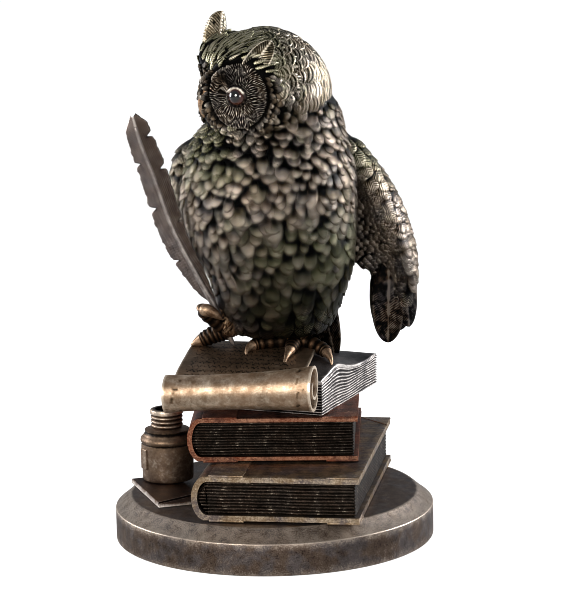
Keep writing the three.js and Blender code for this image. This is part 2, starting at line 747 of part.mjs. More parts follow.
// Each toe is a path of [x, y, z, radius], from the foot to the point of its claw.
const TOES = [
  [[9, 1, 92.5, 4.2], [0, -1.5, 92.4, 3.4], [-6.5, -3, 91.8, 3.3], [-9.5, -5, 91.2, 2.2],
    [-11.3, -8, 89.8, 1.2], [-11.9, -10.4, 87.9, 0.4]],
  [[11, 0, 92.5, 4.2], [10.2, -6, 92, 3.4], [9.3, -11, 91.2, 3.1], [8.3, -14.5, 90.4, 2.1],
    [6.9, -18.8, 88.8, 1.2], [5.9, -22, 86.5, 0.4]],
  [[13, 1, 92.5, 4.2], [19.5, -4, 91.4, 3.3], [24.6, -9, 89.4, 3.1], [26, -12.2, 88.5, 2.1],
    [27.4, -15.6, 86.6, 1.2], [27.9, -17.6, 84.2, 0.4]],
  [[11, 3, 93, 4.2], [13, 10, 92.6, 3.2], [14, 16, 92.2, 2.4], [14.5, 20, 90.4, 0.9]],
  [[-21.5, 2.5, 97.5, 4.6], [-26, 3.5, 95.8, 4.2], [-31, 4.2, 93.4, 3.6], [-34.5, 4.4, 91.8, 2.4],
    [-37.6, 4.4, 90.2, 0.7]],
  [[-21.5, 1.5, 98, 3.8], [-26, -1, 102.5, 3.1], [-30.5, -4.4, 107, 3], [-30, -7, 109.3, 3],
    [-26.5, -7.8, 107.9, 2.4], [-22.8, -7.2, 105, 0.7]],
  [[-21, 4, 98, 3.8], [-25, 6.4, 103, 2.7], [-30, 5.6, 107, 2.4], [-33, 2.5, 108.5, 1.8],
    [-33.2, -1, 107.5, 0.6]],
];

function makeLegs() {
  const legs = LEGS.map((leg) => limb(leg, 8, 5));
  const toes = TOES.map((toe) => limb(toe, 6, 5));
  return union([...legs, ...toes]);
}

const eyePlace = (side) => inHead(EYE_PLACE.forward, side * EYE_PLACE.side, EYE_PLACE.up);

function makeEye(side, radius) {
  const ball = new THREE.SphereGeometry(radius, 10, 7);
  return solidOf(ball.translate(...eyePlace(side).toArray()));
}

function makeOwl(clear) {
  const whole = union([
    makeTorso(),
    makeHead(),
    makeBeak(),
    makeEarTuft(1),
    makeEarTuft(-1),
    makeNearWing(),
    makeFarWing(),
    makeTail(),
    makeLegs(),
  ]);
  return clear.reduce((owl, cutter) => owl.subtract(cutter), whole);
}

// The figurine

const plinth = makePlinth();
const lowerBook = makeBook(LOWER_BOOK, LOWER_BOOK_PLACE, PLINTH_HEIGHT + 0.3);
const upperBook = makeBook(UPPER_BOOK, UPPER_BOOK_PLACE, lowerBookTop + 0.3);
const sheet = makeSheet(SHEET_THICKNESS);
const sheetClearance = makeSheet(SHEET_THICKNESS + 2 * GAP);
const pageStack = makePageStack().subtract(sheetClearance);
const stackClearance = makePageStack().translate([0, 0, GAP]);
const quill = makeQuill();
const owl = makeOwl([
  sheetClearance,
  stackClearance,
  makeQuill(GAP + 0.1),
  makeEye(1, EYE_RADIUS + GAP + 0.1),
  makeEye(-1, EYE_RADIUS + GAP + 0.1),
]);

const figurine = new THREE.Group();
figurine.add(
  meshOf('plinth', plinth, plinthBronze),
  meshOf('lower_book', lowerBook, bookBronze),
  meshOf('upper_book', upperBook, bookCopper),
  meshOf('page_stack', pageStack, pageBronze),
  meshOf('parchment_scroll', sheet, parchmentBronze),
  meshOf('inkwell', makeInkwell(), bottleBronze),
  meshOf('envelope', makeEnvelope(), envelopeBronze),
  meshOf('quill', quill, quillBronze),
  meshOf('owl', owl, owlBronze),
  meshOf('left_eye', makeEye(1, EYE_RADIUS), eyeGloss),
  meshOf('right_eye', makeEye(-1, EYE_RADIUS), eyeGloss),
);

export default figurine;
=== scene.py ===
import math

import bpy
import numpy as np
from mathutils import Matrix, Vector
from mathutils.bvhtree import BVHTree


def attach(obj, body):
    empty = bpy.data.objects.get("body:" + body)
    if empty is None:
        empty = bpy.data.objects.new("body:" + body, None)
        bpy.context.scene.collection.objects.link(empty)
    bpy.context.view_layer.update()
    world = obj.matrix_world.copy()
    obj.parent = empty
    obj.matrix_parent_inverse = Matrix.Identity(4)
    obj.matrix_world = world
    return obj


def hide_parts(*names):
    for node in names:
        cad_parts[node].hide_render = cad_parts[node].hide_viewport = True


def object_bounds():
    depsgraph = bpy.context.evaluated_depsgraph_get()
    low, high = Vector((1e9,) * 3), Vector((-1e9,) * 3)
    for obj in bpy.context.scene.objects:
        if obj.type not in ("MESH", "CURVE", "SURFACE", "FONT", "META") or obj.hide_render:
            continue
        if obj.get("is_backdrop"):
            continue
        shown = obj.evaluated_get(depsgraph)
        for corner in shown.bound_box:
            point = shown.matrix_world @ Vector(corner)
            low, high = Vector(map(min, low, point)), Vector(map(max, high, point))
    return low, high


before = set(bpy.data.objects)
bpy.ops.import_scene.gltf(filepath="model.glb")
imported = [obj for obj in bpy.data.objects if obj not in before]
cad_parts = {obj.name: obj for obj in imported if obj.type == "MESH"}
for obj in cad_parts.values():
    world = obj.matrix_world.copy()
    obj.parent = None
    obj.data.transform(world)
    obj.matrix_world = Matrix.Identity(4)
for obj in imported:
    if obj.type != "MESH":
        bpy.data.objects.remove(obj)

bl_info = {
    "name": "Owl On A Manuscript",
    "version": (1, 0, 0),
    "blender": (4, 5, 0),
    "location": "3D View > Sidebar > Owl",
    "description": "Dresses the owl figurine's frame with feathers, leaves and a painted bronze finish",
    "category": "Object",
}

CAD_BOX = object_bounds()
MM = 0.001

# Sizes that the solids were built to, in millimetres
PLINTH_RADIUS = 75
PLINTH_WALL_HEIGHT = 15.2
PLINTH_FLAT_RADIUS = 67.7
PLINTH_HEIGHT = 20.7
HEAD_CENTRE = np.array([0.5, 2, 209.5])
HEAD_YAW = 22
HEAD_TILT = 7
HEAD_SIZE = {"forward": 29.8, "backward": 28.8, "side": 30, "up": 28.8}
EYE_PLACE = {"forward": 21, "side": 17, "up": 3.6}
EYE_RADIUS = 4.6

random = np.random.default_rng(20)
skins = {}  # the bare forms' surfaces by name, filled by the bare body's operator


# Number helpers

def smooth_run(keys):
    """A smooth run of values through keys of [place, value, value, ...]."""
    table = np.array(keys, float)
    places, values = table[:, 0], table[:, 1:]
    slopes = np.gradient(values, places, axis=0)

    def at(place):
        place = np.clip(np.asarray(place, float), places[0], places[-1])
        i = np.clip(np.searchsorted(places, place, side="right") - 1, 0, len(places) - 2)
        span = (places[i + 1] - places[i])[..., None]
        t = (place - places[i])[..., None] / span
        before = values[i] * (2 * t**3 - 3 * t**2 + 1) + slopes[i] * span * (t**3 - 2 * t**2 + t)
        after = values[i + 1] * (3 * t**2 - 2 * t**3) + slopes[i + 1] * span * (t**3 - t**2)
        return before + after

    return at


def smooth(value, low, high):
    """0 below low, 1 above high, and a soft step between."""
    t = np.clip((np.asarray(value, float) - low) / (high - low), 0, 1)
    return t * t * (3 - 2 * t)


def bump(offset, width):
    """A smooth bump of height 1 at zero."""
    return np.exp(-((np.asarray(offset, float) / width) ** 2))


def unit(vectors):
    """Vectors at length 1."""
    vectors = np.asarray(vectors, float)
    return vectors / np.maximum(np.linalg.norm(vectors, axis=-1, keepdims=True), 1e-9)


def wander(*places):
    """A smooth, repeatable wobble between about -1 and 1 over some running numbers."""
    total = 0.0
    for k, place in enumerate(places):
        place = np.asarray(place, float)
        total = total + np.sin(place * (1 + 0.3 * k) + 1.7 * k) + 0.6 * np.sin(place * (2.3 + k) + 4.1)
    return total / (1.6 * len(places))


# Mesh helpers

def deselect():
    """Leaves nothing selected, so that an operator acts on the next piece alone."""
    if bpy.context.object and bpy.context.object.mode != "OBJECT":
        bpy.ops.object.mode_set(mode="OBJECT")
    bpy.ops.object.select_all(action="DESELECT")


def points_of(mesh):
    """A mesh's points in millimetres."""
    flat = np.zeros(len(mesh.vertices) * 3, np.float64)
    mesh.vertices.foreach_get("co", flat)
    return flat.reshape(-1, 3) / MM


def set_points(mesh, points):
    """Moves a mesh's points, given in millimetres."""
    mesh.vertices.foreach_set("co", (np.asarray(points) * MM).astype(np.float32).ravel())
    mesh.update()


def set_carving(mesh, carving):
    """Stores relief, patina, rubbing mixed with painted shade, and chance for each point, as the materials read them.
    """
    attribute = mesh.attributes.get("carving") or mesh.attributes.new("carving", "FLOAT_COLOR", "POINT")
    attribute.data.foreach_set("color", np.asarray(carving, np.float32).ravel())


def carve(relief, patina=0.0, wear_and_shade=1.0, chance=0.5):
    """Carving values for some points; each may be one number or one for each point."""
    relief = np.asarray(relief, float)
    return np.stack([relief, patina + 0 * relief, wear_and_shade + 0 * relief, chance + 0 * relief], axis=-1)


def face_outwards(form):
    """Turns a closed form whose faces all point inwards."""
    form.data.calc_loop_triangles()
    corners = points_of(form.data)[[tuple(triangle.vertices) for triangle in form.data.loop_triangles]]
    volume = np.einsum("ij,ij->i", corners[:, 0], np.cross(corners[:, 1], corners[:, 2])).sum()
    if volume < 0:
        form.data.flip_normals()


def grid_form(name, columns, rows, place, carving=None, tube=False, sharp=None):
    """A grid shaped by place(u, v), in millimetres. A tube's first and last columns meet, and its ends close."""
    deselect()
    bpy.ops.mesh.primitive_grid_add(x_subdivisions=columns, y_subdivisions=rows, size=2)
    form = bpy.context.object
    form.name = name
    form.data.name = name
    flat = np.zeros(len(form.data.vertices) * 3)
    form.data.vertices.foreach_get("co", flat)
    u = (flat[0::3] + 1) / 2
    v = (flat[1::3] + 1) / 2
    set_points(form.data, place(u, v))
    set_carving(form.data, carve(0.3 + 0 * u) if carving is None else carving(u, v))
    if tube:
        bpy.ops.object.mode_set(mode="EDIT")
        bpy.ops.mesh.select_all(action="SELECT")
        bpy.ops.mesh.remove_doubles(threshold=0.002 * MM)
        bpy.ops.mesh.fill_holes(sides=0)
        bpy.ops.mesh.select_all(action="SELECT")
        bpy.ops.mesh.normals_make_consistent(inside=False)
        bpy.ops.object.mode_set(mode="OBJECT")
        face_outwards(form)
    if sharp:
        bpy.ops.object.shade_smooth_by_angle(angle=math.radians(sharp))
    else:
        bpy.ops.object.shade_smooth()
    return form


def turned_form(name, profile, centre, steps):
    """A profile of [radius, height], in millimetres, spun about an upright axis."""
    deselect()
    bpy.ops.mesh.primitive_circle_add(vertices=len(profile), fill_type="NOTHING")
    form = bpy.context.object
    form.name = name
    form.data.name = name
    set_points(form.data, [[centre[0] + r, centre[1], z] for r, z in profile])
    bpy.ops.object.mode_set(mode="EDIT")
    bpy.ops.mesh.select_all(action="DESELECT")
    bpy.ops.object.mode_set(mode="OBJECT")
    ends = {0, len(profile) - 1}
    for edge in form.data.edges:
        edge.select = set(edge.vertices) == ends
    bpy.ops.object.mode_set(mode="EDIT")
    bpy.ops.mesh.select_mode(type="EDGE")
    bpy.ops.mesh.delete(type="EDGE")
    bpy.ops.mesh.select_all(action="SELECT")
    axis_place = (centre[0] * MM, centre[1] * MM, 0)
    bpy.ops.mesh.spin(steps=steps, angle=2 * math.pi, center=axis_place, axis=(0, 0, 1))
    bpy.ops.mesh.select_all(action="SELECT")
    bpy.ops.mesh.remove_doubles(threshold=0.002 * MM)
    bpy.ops.mesh.normals_make_consistent(inside=False)
    bpy.ops.mesh.select_mode(type="VERT")
    bpy.ops.object.mode_set(mode="OBJECT")
    bpy.ops.object.shade_smooth_by_angle(angle=math.radians(35))
    return form


def apply_modifier(form, kind, **settings):
    """Adds a modifier to a piece and applies it."""
    deselect()
    bpy.context.view_layer.objects.active = form
    form.select_set(True)
    modifier = form.modifiers.new(kind.title(), kind)
    for key, value in settings.items():
        setattr(modifier, key, value)
    bpy.ops.object.modifier_apply(modifier=modifier.name)


def join(name, forms):
    """Makes one piece of several."""
    deselect()
    for form in forms:
        form.select_set(True)
    bpy.context.view_layer.objects.active = forms[0]
    if len(forms) > 1:
        bpy.ops.object.join()
    forms[0].name = name
    forms[0].data.name = name
    return forms[0]


def finish_piece(form, material, slot, *nodes):
    """Gives a piece its material by name, and lets it stand for the frame's nodes."""
    form.data.materials.clear()
    form.data.materials.append(bpy.data.materials[material])
    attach(form, "root")
    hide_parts(*nodes)
    return {"FINISHED"}


def tube_form(name, path, columns, rows, radius=None, flatten=1.0, carving=None, up=(0, 0, 1)):
    """A round limb along keys of [x, y, z, radius]; radius(u, v, r) may vary it."""
    run = smooth_run([[i / (len(path) - 1), *key] for i, key in enumerate(path)])
    spine = run(np.linspace(0, 1, rows + 1))
    tangents = unit(np.gradient(spine[:, :3], axis=0))
    side = unit(np.cross(tangents, np.array(up, float)))
    over = unit(np.cross(side, tangents))

    def place(u, v):
        row = np.rint(v * rows).astype(int)
        angle = 2 * math.pi * u
        reach = np.maximum(spine[row, 3], 0.05)
        if radius is not None:
            reach = radius(u, v, reach)
        across = side[row] * (reach * np.cos(angle))[:, None]
        return spine[row, :3] + across + over[row] * (reach * flatten * np.sin(angle))[:, None]

    return grid_form(name, columns, rows, place, carving, tube=True)


# The owl's bare surfaces

TORSO_LINE = smooth_run([
    [88, 4, 9, 8, 8], [96, 4, 9, 20, 18], [103, 4, 9.5, 25.5, 24], [110, 4, 9, 28.4, 27],
    [120, 4.6, 7.5, 31.3, 30], [129, 4, 6, 34.3, 32.5], [136, 2.2, 5, 36.6, 34], [143, 1.4, 4, 38, 35],
    [151, 0.4, 3, 39.1, 36], [161, 0, 2, 39.9, 36.5], [170, 0.4, 1.5, 39.2, 36], [179, 0.7, 1.5, 38, 34.5],
    [187, 1, 2, 35.2, 32], [194, 3, 2.6, 31.6, 29], [200, 4.2, 3, 29, 26.5], [206, 5, 3.2, 26.4, 25],
    [211, 5.2, 3.2, 22.6, 21.5],
])
NEAR_WING_LINE = smooth_run([
    [104, 50, 16.5, 57, 12, 66, 18], [114, 49, 16, 60, 9, 67.4, 18.5], [122, 46.8, 15.5, 61, 6.5, 67.8, 19],
    [126.5, 41, 15.2, 60.4, 5.4, 67.4, 19], [131, 34, 15, 59.3, 4.4, 66.9, 19], [140, 34, 14, 57, 3.4, 65, 19],
    [152, 33, 12, 52, 2, 61.5, 17.5], [164, 33, 10, 46, 0.5, 56, 15.5], [175, 30, 8, 39, 0, 49, 13.5],
    [184, 27, 7, 34, 1.5, 42, 11.5], [191, 24, 7, 29, 4, 34.5, 9.5],
])
FAR_WING_LINE = smooth_run([
    [100, -8, 40, 5, 2.5, 35], [110, -13, 38.5, 9, 4, 40], [122, -20, 33, 13, 5.5, 50],
    [136, -26.5, 27, 16.5, 6.5, 58], [150, -31.5, 21, 18, 8.3, 66], [163, -34.4, 16, 17.5, 9, 74],
    [174, -34.8, 13, 15.5, 9, 76], [183, -31.5, 11, 12.5, 8.4, 74], [190, -26, 10, 8, 6.6, 72],
])


def torso_point(angle, z, lift=0.0):
    """The bare torso at an angle round it and a height."""
    cx, cy, rx, ry = TORSO_LINE(z).T
    return np.stack([cx + (rx + lift) * np.cos(angle), cy + (ry + lift) * np.sin(angle), z], axis=-1)


def near_wing_point(around, z):
    """The half-open wing's section at a height: 0 is its inner edge, a third its front, two thirds its back."""
    ix, iy, fx, fy, ox, oy = NEAR_WING_LINE(z).T
    corners = np.stack([
        np.stack([ix, iy], -1),
        np.stack([(ix + fx) / 2 + 1, (iy + fy) / 2 + 1], -1),
        np.stack([fx, fy], -1),
        np.stack([fx + 0.55 * (ox - fx) + 2.2, fy + 0.45 * (oy - fy) - 1.5], -1),
        np.stack([ox, oy], -1),
        np.stack([ix + 0.55 * (ox - ix), np.maximum(iy, oy) + 2.5], -1),
    ], axis=1)
    place = (np.asarray(around, float) % 1) * 6
    i = np.floor(place).astype(int) % 6
    t = (place - np.floor(place))[:, None]
    row = np.arange(len(i))
    before, here, ahead, after = (corners[row, (i + k) % 6] for k in (-1, 0, 1, 2))
    tension = 0.6
    flat = (here * (2 * t**3 - 3 * t**2 + 1) + tension * (ahead - before) * (t**3 - 2 * t**2 + t)
            + ahead * (3 * t**2 - 2 * t**3) + tension * (after - here) * (t**3 - t**2))
    return np.column_stack([flat, z])


def far_wing_point(around, z):
    """The folded wing's section at a height."""
    mx, my, half, thick, heading = FAR_WING_LINE(z).T
    heading = np.radians(heading)
    along = half * np.cos(2 * math.pi * around)
    across = thick * np.sin(2 * math.pi * around)
    return np.stack([
        mx + along * np.cos(heading) - across * np.sin(heading),
        my + along * np.sin(heading) + across * np.cos(heading),
        z,
    ], axis=-1)


HEAD_TURN = np.array(
    Matrix.Rotation(math.radians(180 + HEAD_YAW), 3, "Z") @ Matrix.Rotation(math.radians(-HEAD_TILT), 3, "X")
)


def in_head(points):
    """Points from the head's own axes (forward, side, up) to the frame's."""
    return np.asarray(points, float) @ HEAD_TURN.T + HEAD_CENTRE


def head_axes_of(points):
    """Points from the frame's axes to the head's own."""
    return (np.asarray(points, float) - HEAD_CENTRE) @ HEAD_TURN


def face_relief(point):
    """How far the face stands out: brows, hollow discs round the eyes, bill and forehead."""
    forward, side, up = point[:, 0], np.abs(point[:, 1]), point[:, 2]
    ahead = (forward - EYE_PLACE["forward"]) * 0.6
    from_eye = np.sqrt((side - EYE_PLACE["side"]) ** 2 + (up - EYE_PLACE["up"] + 1.5) ** 2 + ahead**2)
    disc = -3.2 * (1 - smooth(from_eye, 6, 14.5))
    ruff = 1.3 * bump(from_eye - 16.5, 1.8) * np.where(up < 12, 1, 0.2)
    brow = 3.4 * bump(up - 7.2 - side * 0.78, 3) * smooth(side, 2, 9) * smooth(forward, 2, 12)
    hollow = -2.6 * bump(side - 9.5, 4) * bump(up - 5, 5)
    bill = 1.8 * bump(side, 3.5) * (1 - smooth(up, 0, 12))
    forehead = 2.6 * bump(up - 17, 6.5) * smooth(forward, 2, 10)
    return np.where(forward < 2, 0, disc + ruff + brow + hollow + bill + forehead)


def bare_head(from_face, around, lift=0.0):
    """The head before its face is carved, in its own axes."""
    f = np.cos(from_face)
    s = np.sin(from_face) * np.cos(around)
    u = np.sin(from_face) * np.sin(around)
    power = np.where(f > 0, 2.25, 1.8)
    forward = np.where(f > 0, HEAD_SIZE["forward"], HEAD_SIZE["backward"])
    wide = np.hypot(s / HEAD_SIZE["side"], u / HEAD_SIZE["up"])
    reach = (np.abs(f / forward) ** power + wide**power) ** (-1 / power)
    point = np.stack([f, s, u], -1) * reach[:, None]
    normal = unit(np.stack([
        np.sign(f) * np.abs(point[:, 0] / forward) ** (power - 1) / forward,
        point[:, 1] / HEAD_SIZE["side"] ** 2,
        point[:, 2] / HEAD_SIZE["up"] ** 2,
    ], -1))
    return point + normal * np.asarray(lift)[..., None]


def head_point(from_face, around):
    """The carved head without its feathers, in the frame's axes."""
    from_face, around = np.broadcast_arrays(np.asarray(from_face, float), np.asarray(around, float))
    return in_head(bare_head(from_face, around, face_relief(bare_head(from_face, around))))


class Skin:
    """A bare surface that feathers are laid on."""

    def __init__(self, form):
        mesh = form.data
        self.tree = BVHTree.FromPolygons(
            [tuple(p) for p in points_of(mesh)], [tuple(f.vertices) for f in mesh.polygons]
        )

    def nearest(self, points):
        """The nearest place on the skin, and the way out there, for each point."""
        found = [self.tree.find_nearest(Vector(p)) for p in points]
        places = np.array([f[0] for f in found])
        normals = np.array([f[1] for f in found])
        return places, normals


# Feathers

class Feather:
    """One feather, modelled once as a closed form of unit width and length that lies along +Y.

    height(a, b) and relief(a, b) shape and paint it, with a from -1 to 1 across and b from root to tip.
    """

    def __init__(self, columns, rows, height, relief, root=0.55, roundness=0.45, point=1.0, sink=0.9, rim=0.1):
        deselect()
        bpy.ops.mesh.primitive_grid_add(x_subdivisions=columns, y_subdivisions=rows, size=2)
        form = bpy.context.object
        flat = np.zeros(len(form.data.vertices) * 3)
        form.data.vertices.foreach_get("co", flat)
        a, b = flat[0::3], (flat[1::3] + 1) / 2
        column = np.rint((a + 1) / 2 * columns).astype(int)
        row = np.rint(b * rows).astype(int)
        inner_a = np.clip(a * columns / (columns - 1.7), -1, 1)
        inner_b = np.clip(b * rows / (rows - 0.85), 0, 1)
        width = (root + (1 - root) * smooth(inner_b, 0, 0.62)) * (1 - (1 - point) * smooth(inner_b, 0.5, 1))
        reach = 1 - roundness + roundness * np.sqrt(np.maximum(1 - inner_a**2 * 0.98, 0))
        edge = (column == 0) | (column == columns) | (row == rows) | (row == 0)
        is_rim = ~edge & ((row == rows - 1) | (column == 1) | (column == columns - 1))
        z = height(inner_a, inner_b) - 0.4 * (1 - inner_b) ** 2
        paint = relief(inner_a, inner_b) + rim * is_rim * smooth(inner_b, 0.3, 0.7)
        self.points = np.stack([0.5 * inner_a * width, inner_b * reach, np.where(edge, -sink, z)], -1)
        self.relief = np.where(edge, 0.0, paint)
        form.data.vertices.foreach_set("co", self.points.astype(np.float32).ravel())
        bpy.ops.object.mode_set(mode="EDIT")
        bpy.ops.mesh.select_all(action="DESELECT")
        bpy.ops.mesh.select_non_manifold(extend=False)
        bpy.ops.mesh.edge_face_add()
        bpy.ops.mesh.select_all(action="SELECT")
        bpy.ops.mesh.normals_make_consistent(inside=False)
        bpy.ops.object.mode_set(mode="OBJECT")
        self.faces = [tuple(f.vertices) for f in form.data.polygons]
        bpy.data.objects.remove(form)


def set_barb_places(mesh, places):
    """Stores millimetres across and along a feather for each point, as its UV, so that barbs keep one pitch."""
    corner = np.zeros(len(mesh.loops), int)
    mesh.loops.foreach_get("vertex_index", corner)
    layer = mesh.uv_layers.get("UVMap") or mesh.uv_layers.new(name="UVMap")
    layer.data.foreach_set("uv", np.asarray(places, np.float32)[corner].ravel())


def lay_feathers(name, feather, skin, places, ways, widths, lengths, lifts, patina, wear_and_shade):
    """Copies of a feather, each bent to the skin at its place and pointing its way, as one piece."""
    count, size = len(places), len(feather.points)
    roots, normals = skin.nearest(places)
    along = unit(ways - normals * np.sum(ways * normals, axis=1, keepdims=True))
    across = np.cross(along, normals)
    x, y, z = feather.points.T
    skew = random.normal(0, 0.12, count)[:, None] * y**2
    x = x + skew
    spread = (roots[:, None] + across[:, None] * (widths[:, None] * x)[..., None]
              + along[:, None] * (lengths[:, None] * y)[..., None])
    base, out = skin.nearest(spread.reshape(-1, 3))
    height = (lifts[:, None] * z).reshape(-1, 1)
    points = base + out * height
    faces = [tuple(i + k * size for i in face) for k in range(count) for face in feather.faces]
    mesh = bpy.data.meshes.new(name)
    mesh.from_pydata((points * MM).tolist(), [], faces)
    form = bpy.data.objects.new(name, mesh)
    bpy.context.scene.collection.objects.link(form)
    chance = np.repeat(random.random(count), size)
    set_carving(mesh, carve(np.tile(feather.relief, count), np.repeat(patina, size), np.repeat(wear_and_shade, size), chance))
    set_barb_places(mesh, np.stack([(widths[:, None] * (x - skew)).ravel(), (lengths[:, None] * y).ravel()], -1))
    deselect()
    form.select_set(True)
    bpy.context.view_layer.objects.active = form
    bpy.ops.object.shade_smooth()
    return form


def feather_kinds():
    """The forms that every feather of the owl is a copy of."""

    def domed(lift, dome):
        return lambda a, b: lift * b**1.4 + dome * (1 - a**2) * smooth(b, 0, 0.5)

    def nested(b):
        return 0.5 + 0.5 * np.cos(2 * math.pi * (1 - b) / 0.25)

    return {
        # An oval is dark at its root, where it tucks under the row above, and lighter towards its tip: partly the dark
        # wash of the hollows, partly painted shade.
        "oval": Feather(8, 7, domed(1.1, 0.5), lambda a, b: 0.04 + 0.56 * smooth(b, 0.25, 0.85) * (1 - 0.5 * a**2)),
        "crescent": Feather(8, 10, lambda a, b: 1.5 * b**1.4 + 0.4 * nested(b) * smooth(b, 0.3, 0.5),
                            lambda a, b: 0.02 + 0.8 * nested(b) * smooth(b, 0.25, 0.45), root=0.7, roundness=0.5),
        "streak": Feather(6, 6, domed(0.8, 0.5), lambda a, b: 0.08 + 0.72 * (1 - a**2), roundness=0.3, point=0.5),
        "strand": Feather(4, 5, domed(1.1, 0.6), lambda a, b: 0.1 + 0.7 * (1 - a**2), roundness=0.3, point=0.25),
        "brick": Feather(4, 4, lambda a, b: 0.55 + 0 * a, lambda a, b: 0.45 + 0.2 * a**2, root=0.95,
                         roundness=0.1, rim=0.2),
    }


def rows_of_feathers(point, rows, spacing, keep=None, way_jitter=0.14, place_jitter=0.16):
    """Staggered rows of places on a surface point(around, run), with the way down it at each place.

    rows holds the run value of each row, and spacing(run) is the distance between feathers, in millimetres.
    """
    arounds, runs = [], []
    for k, run in enumerate(rows):
        loop = point(np.linspace(0, 1, 49), np.full(49, run))
        length = np.linalg.norm(np.diff(loop, axis=0), axis=1).sum()
        count = max(3, int(round(length / float(spacing(run)))))
        arounds.append((np.arange(count) + 0.5 * (k % 2) + random.uniform(-1, 1, count) * place_jitter) / count)
        runs.append(np.full(count, run))
    around, run = np.concatenate(arounds) % 1, np.concatenate(runs)
    step = np.abs(np.gradient(np.array(rows, float))).mean() * np.sign(rows[-1] - rows[0])
    run = run + random.uniform(-1, 1, len(run)) * place_jitter * step
    places = point(around, run)
    ways = unit(point(around, run + 0.3 * step) - places)
    sideways = unit(point((around + 0.01) % 1, run) - places)
    ways = unit(ways + sideways * random.normal(0, way_jitter, len(run))[:, None])
    if keep is None:
        return places, ways, around, run
    kept = keep(places, around, run)
    return places[kept], ways[kept], around[kept], run[kept]


def leaf_form(name, root, tip, face, width, thickness=1.4, cup=-0.12, bend=0.0, barb_pitch=1.3, barb_depth=0.12,
              columns=22, rows=70, full_at=0.45, point_at=0.55, root_share=0.45, patina=0.0, wear_and_shade=1.0):
    """A long feather as a closed blade with a raised shaft and slanting barbs on both faces."""
    root, tip, face = (np.array(v, float) for v in (root, tip, face))
    run = tip - root
    length = np.linalg.norm(run)
    across = unit(np.cross(run, face))
    out = unit(np.cross(across, run))

    def section(u, v):
        side = np.where(u < 0.5, 1, -1)
        a = np.where(u < 0.5, -1 + 4 * u, 3 - 4 * u)
        half = width * 0.5 * (root_share + (1 - root_share) * smooth(v, 0, full_at))
        half = half * np.sqrt(np.maximum(1 - np.maximum((v - point_at) / (1.004 - point_at), 0) ** 2, 0))
        phase = (v * length - np.abs(a) * half * 1.1) / barb_pitch
        barb = 0.5 + 0.5 * np.cos(2 * math.pi * phase + 0.9 * wander(phase * 0.31, a * 3))
        shaft = bump(a * half, 0.45)
        vane = np.sqrt(np.maximum(1 - a**2, 0))
        return side, a, half, barb, shaft, vane

    def place(u, v):
        side, a, half, barb, shaft, vane = section(u, v)
        thick = thickness * 0.5 * (1 - 0.45 * v)
        up = side * (thick * vane + barb_depth * (barb - 0.5) * smooth(vane, 0, 0.5) + 0.3 * shaft) + cup * half * a**2
        centre = root + run * v[:, None] + across * (bend * length * np.sin(math.pi * v))[:, None]
        return centre + across * (a * half)[:, None] + out * up[:, None]

    def carving(u, v):
        side, a, half, barb, shaft, vane = section(u, v)
        edge = 0.75 * smooth(np.abs(a), 0.86, 0.97)
        relief = np.clip(0.08 + 0.42 * barb**2 * smooth(1 - np.abs(a), 0, 0.1) + edge + 0.9 * shaft, 0, 1)
        return carve(relief, patina, wear_and_shade, float(random.random()))

    return grid_form(name, columns * 2, rows, place, carving, tube=True)


# Materials

def node_group(name, inputs, outputs):
    """An empty shader node group with the given sockets, and its tree's input and output nodes."""
    tree = bpy.data.node_groups.new(name, "ShaderNodeTree")
    for label, kind, default in inputs:
        socket = tree.interface.new_socket(label, in_out="INPUT", socket_type=kind)
        socket.default_value = default
    for label, kind in outputs:
        tree.interface.new_socket(label, in_out="OUTPUT", socket_type=kind)
    start = tree.nodes.new("NodeGroupInput")
    end = tree.nodes.new("NodeGroupOutput")
    start.location, end.location = (-900, 0), (900, 0)
    return tree, start, end


class Wires:
    """Short ways to add and join shader nodes in one tree."""

    def __init__(self, tree):
        self.tree = tree
        self.count = 0

    def add(self, kind, **settings):
        node = self.tree.nodes.new(kind)
        node.location = (-700 + 180 * (self.count % 8), 300 - 190 * (self.count // 8))
        self.count += 1
        for key, value in settings.items():
            setattr(node, key, value)
        return node

    def feed(self, socket, value):
        if isinstance(value, bpy.types.NodeSocket):
            self.tree.links.new(value, socket)
        else:
            socket.default_value = value

    def math(self, operation, a, b=0.0, clamp=False):
        node = self.add("ShaderNodeMath", operation=operation, use_clamp=clamp)
        self.feed(node.inputs[0], a)
        self.feed(node.inputs[1], b)
        return node.outputs[0]

    def step(self, value, low, high):
        """0 below low, 1 above high."""
        node = self.add("ShaderNodeMapRange", interpolation_type="SMOOTHSTEP")
        self.feed(node.inputs["Value"], value)
        self.feed(node.inputs["From Min"], low)
        self.feed(node.inputs["From Max"], high)
        return node.outputs["Result"]

    def mix(self, share, a, b, blend="MIX"):
        node = self.add("ShaderNodeMix", data_type="RGBA", blend_type=blend)
        self.feed(node.inputs[0], share)
        self.feed(node.inputs[6], a)
        self.feed(node.inputs[7], b)
        return node.outputs[2]

    def noise(self, vector, scale, detail=3.0, roughness=0.6):
        node = self.add("ShaderNodeTexNoise")
        self.feed(node.inputs["Vector"], vector)
        self.feed(node.inputs["Scale"], scale)
        self.feed(node.inputs["Detail"], detail)
        self.feed(node.inputs["Roughness"], roughness)
        return node.outputs["Fac"]


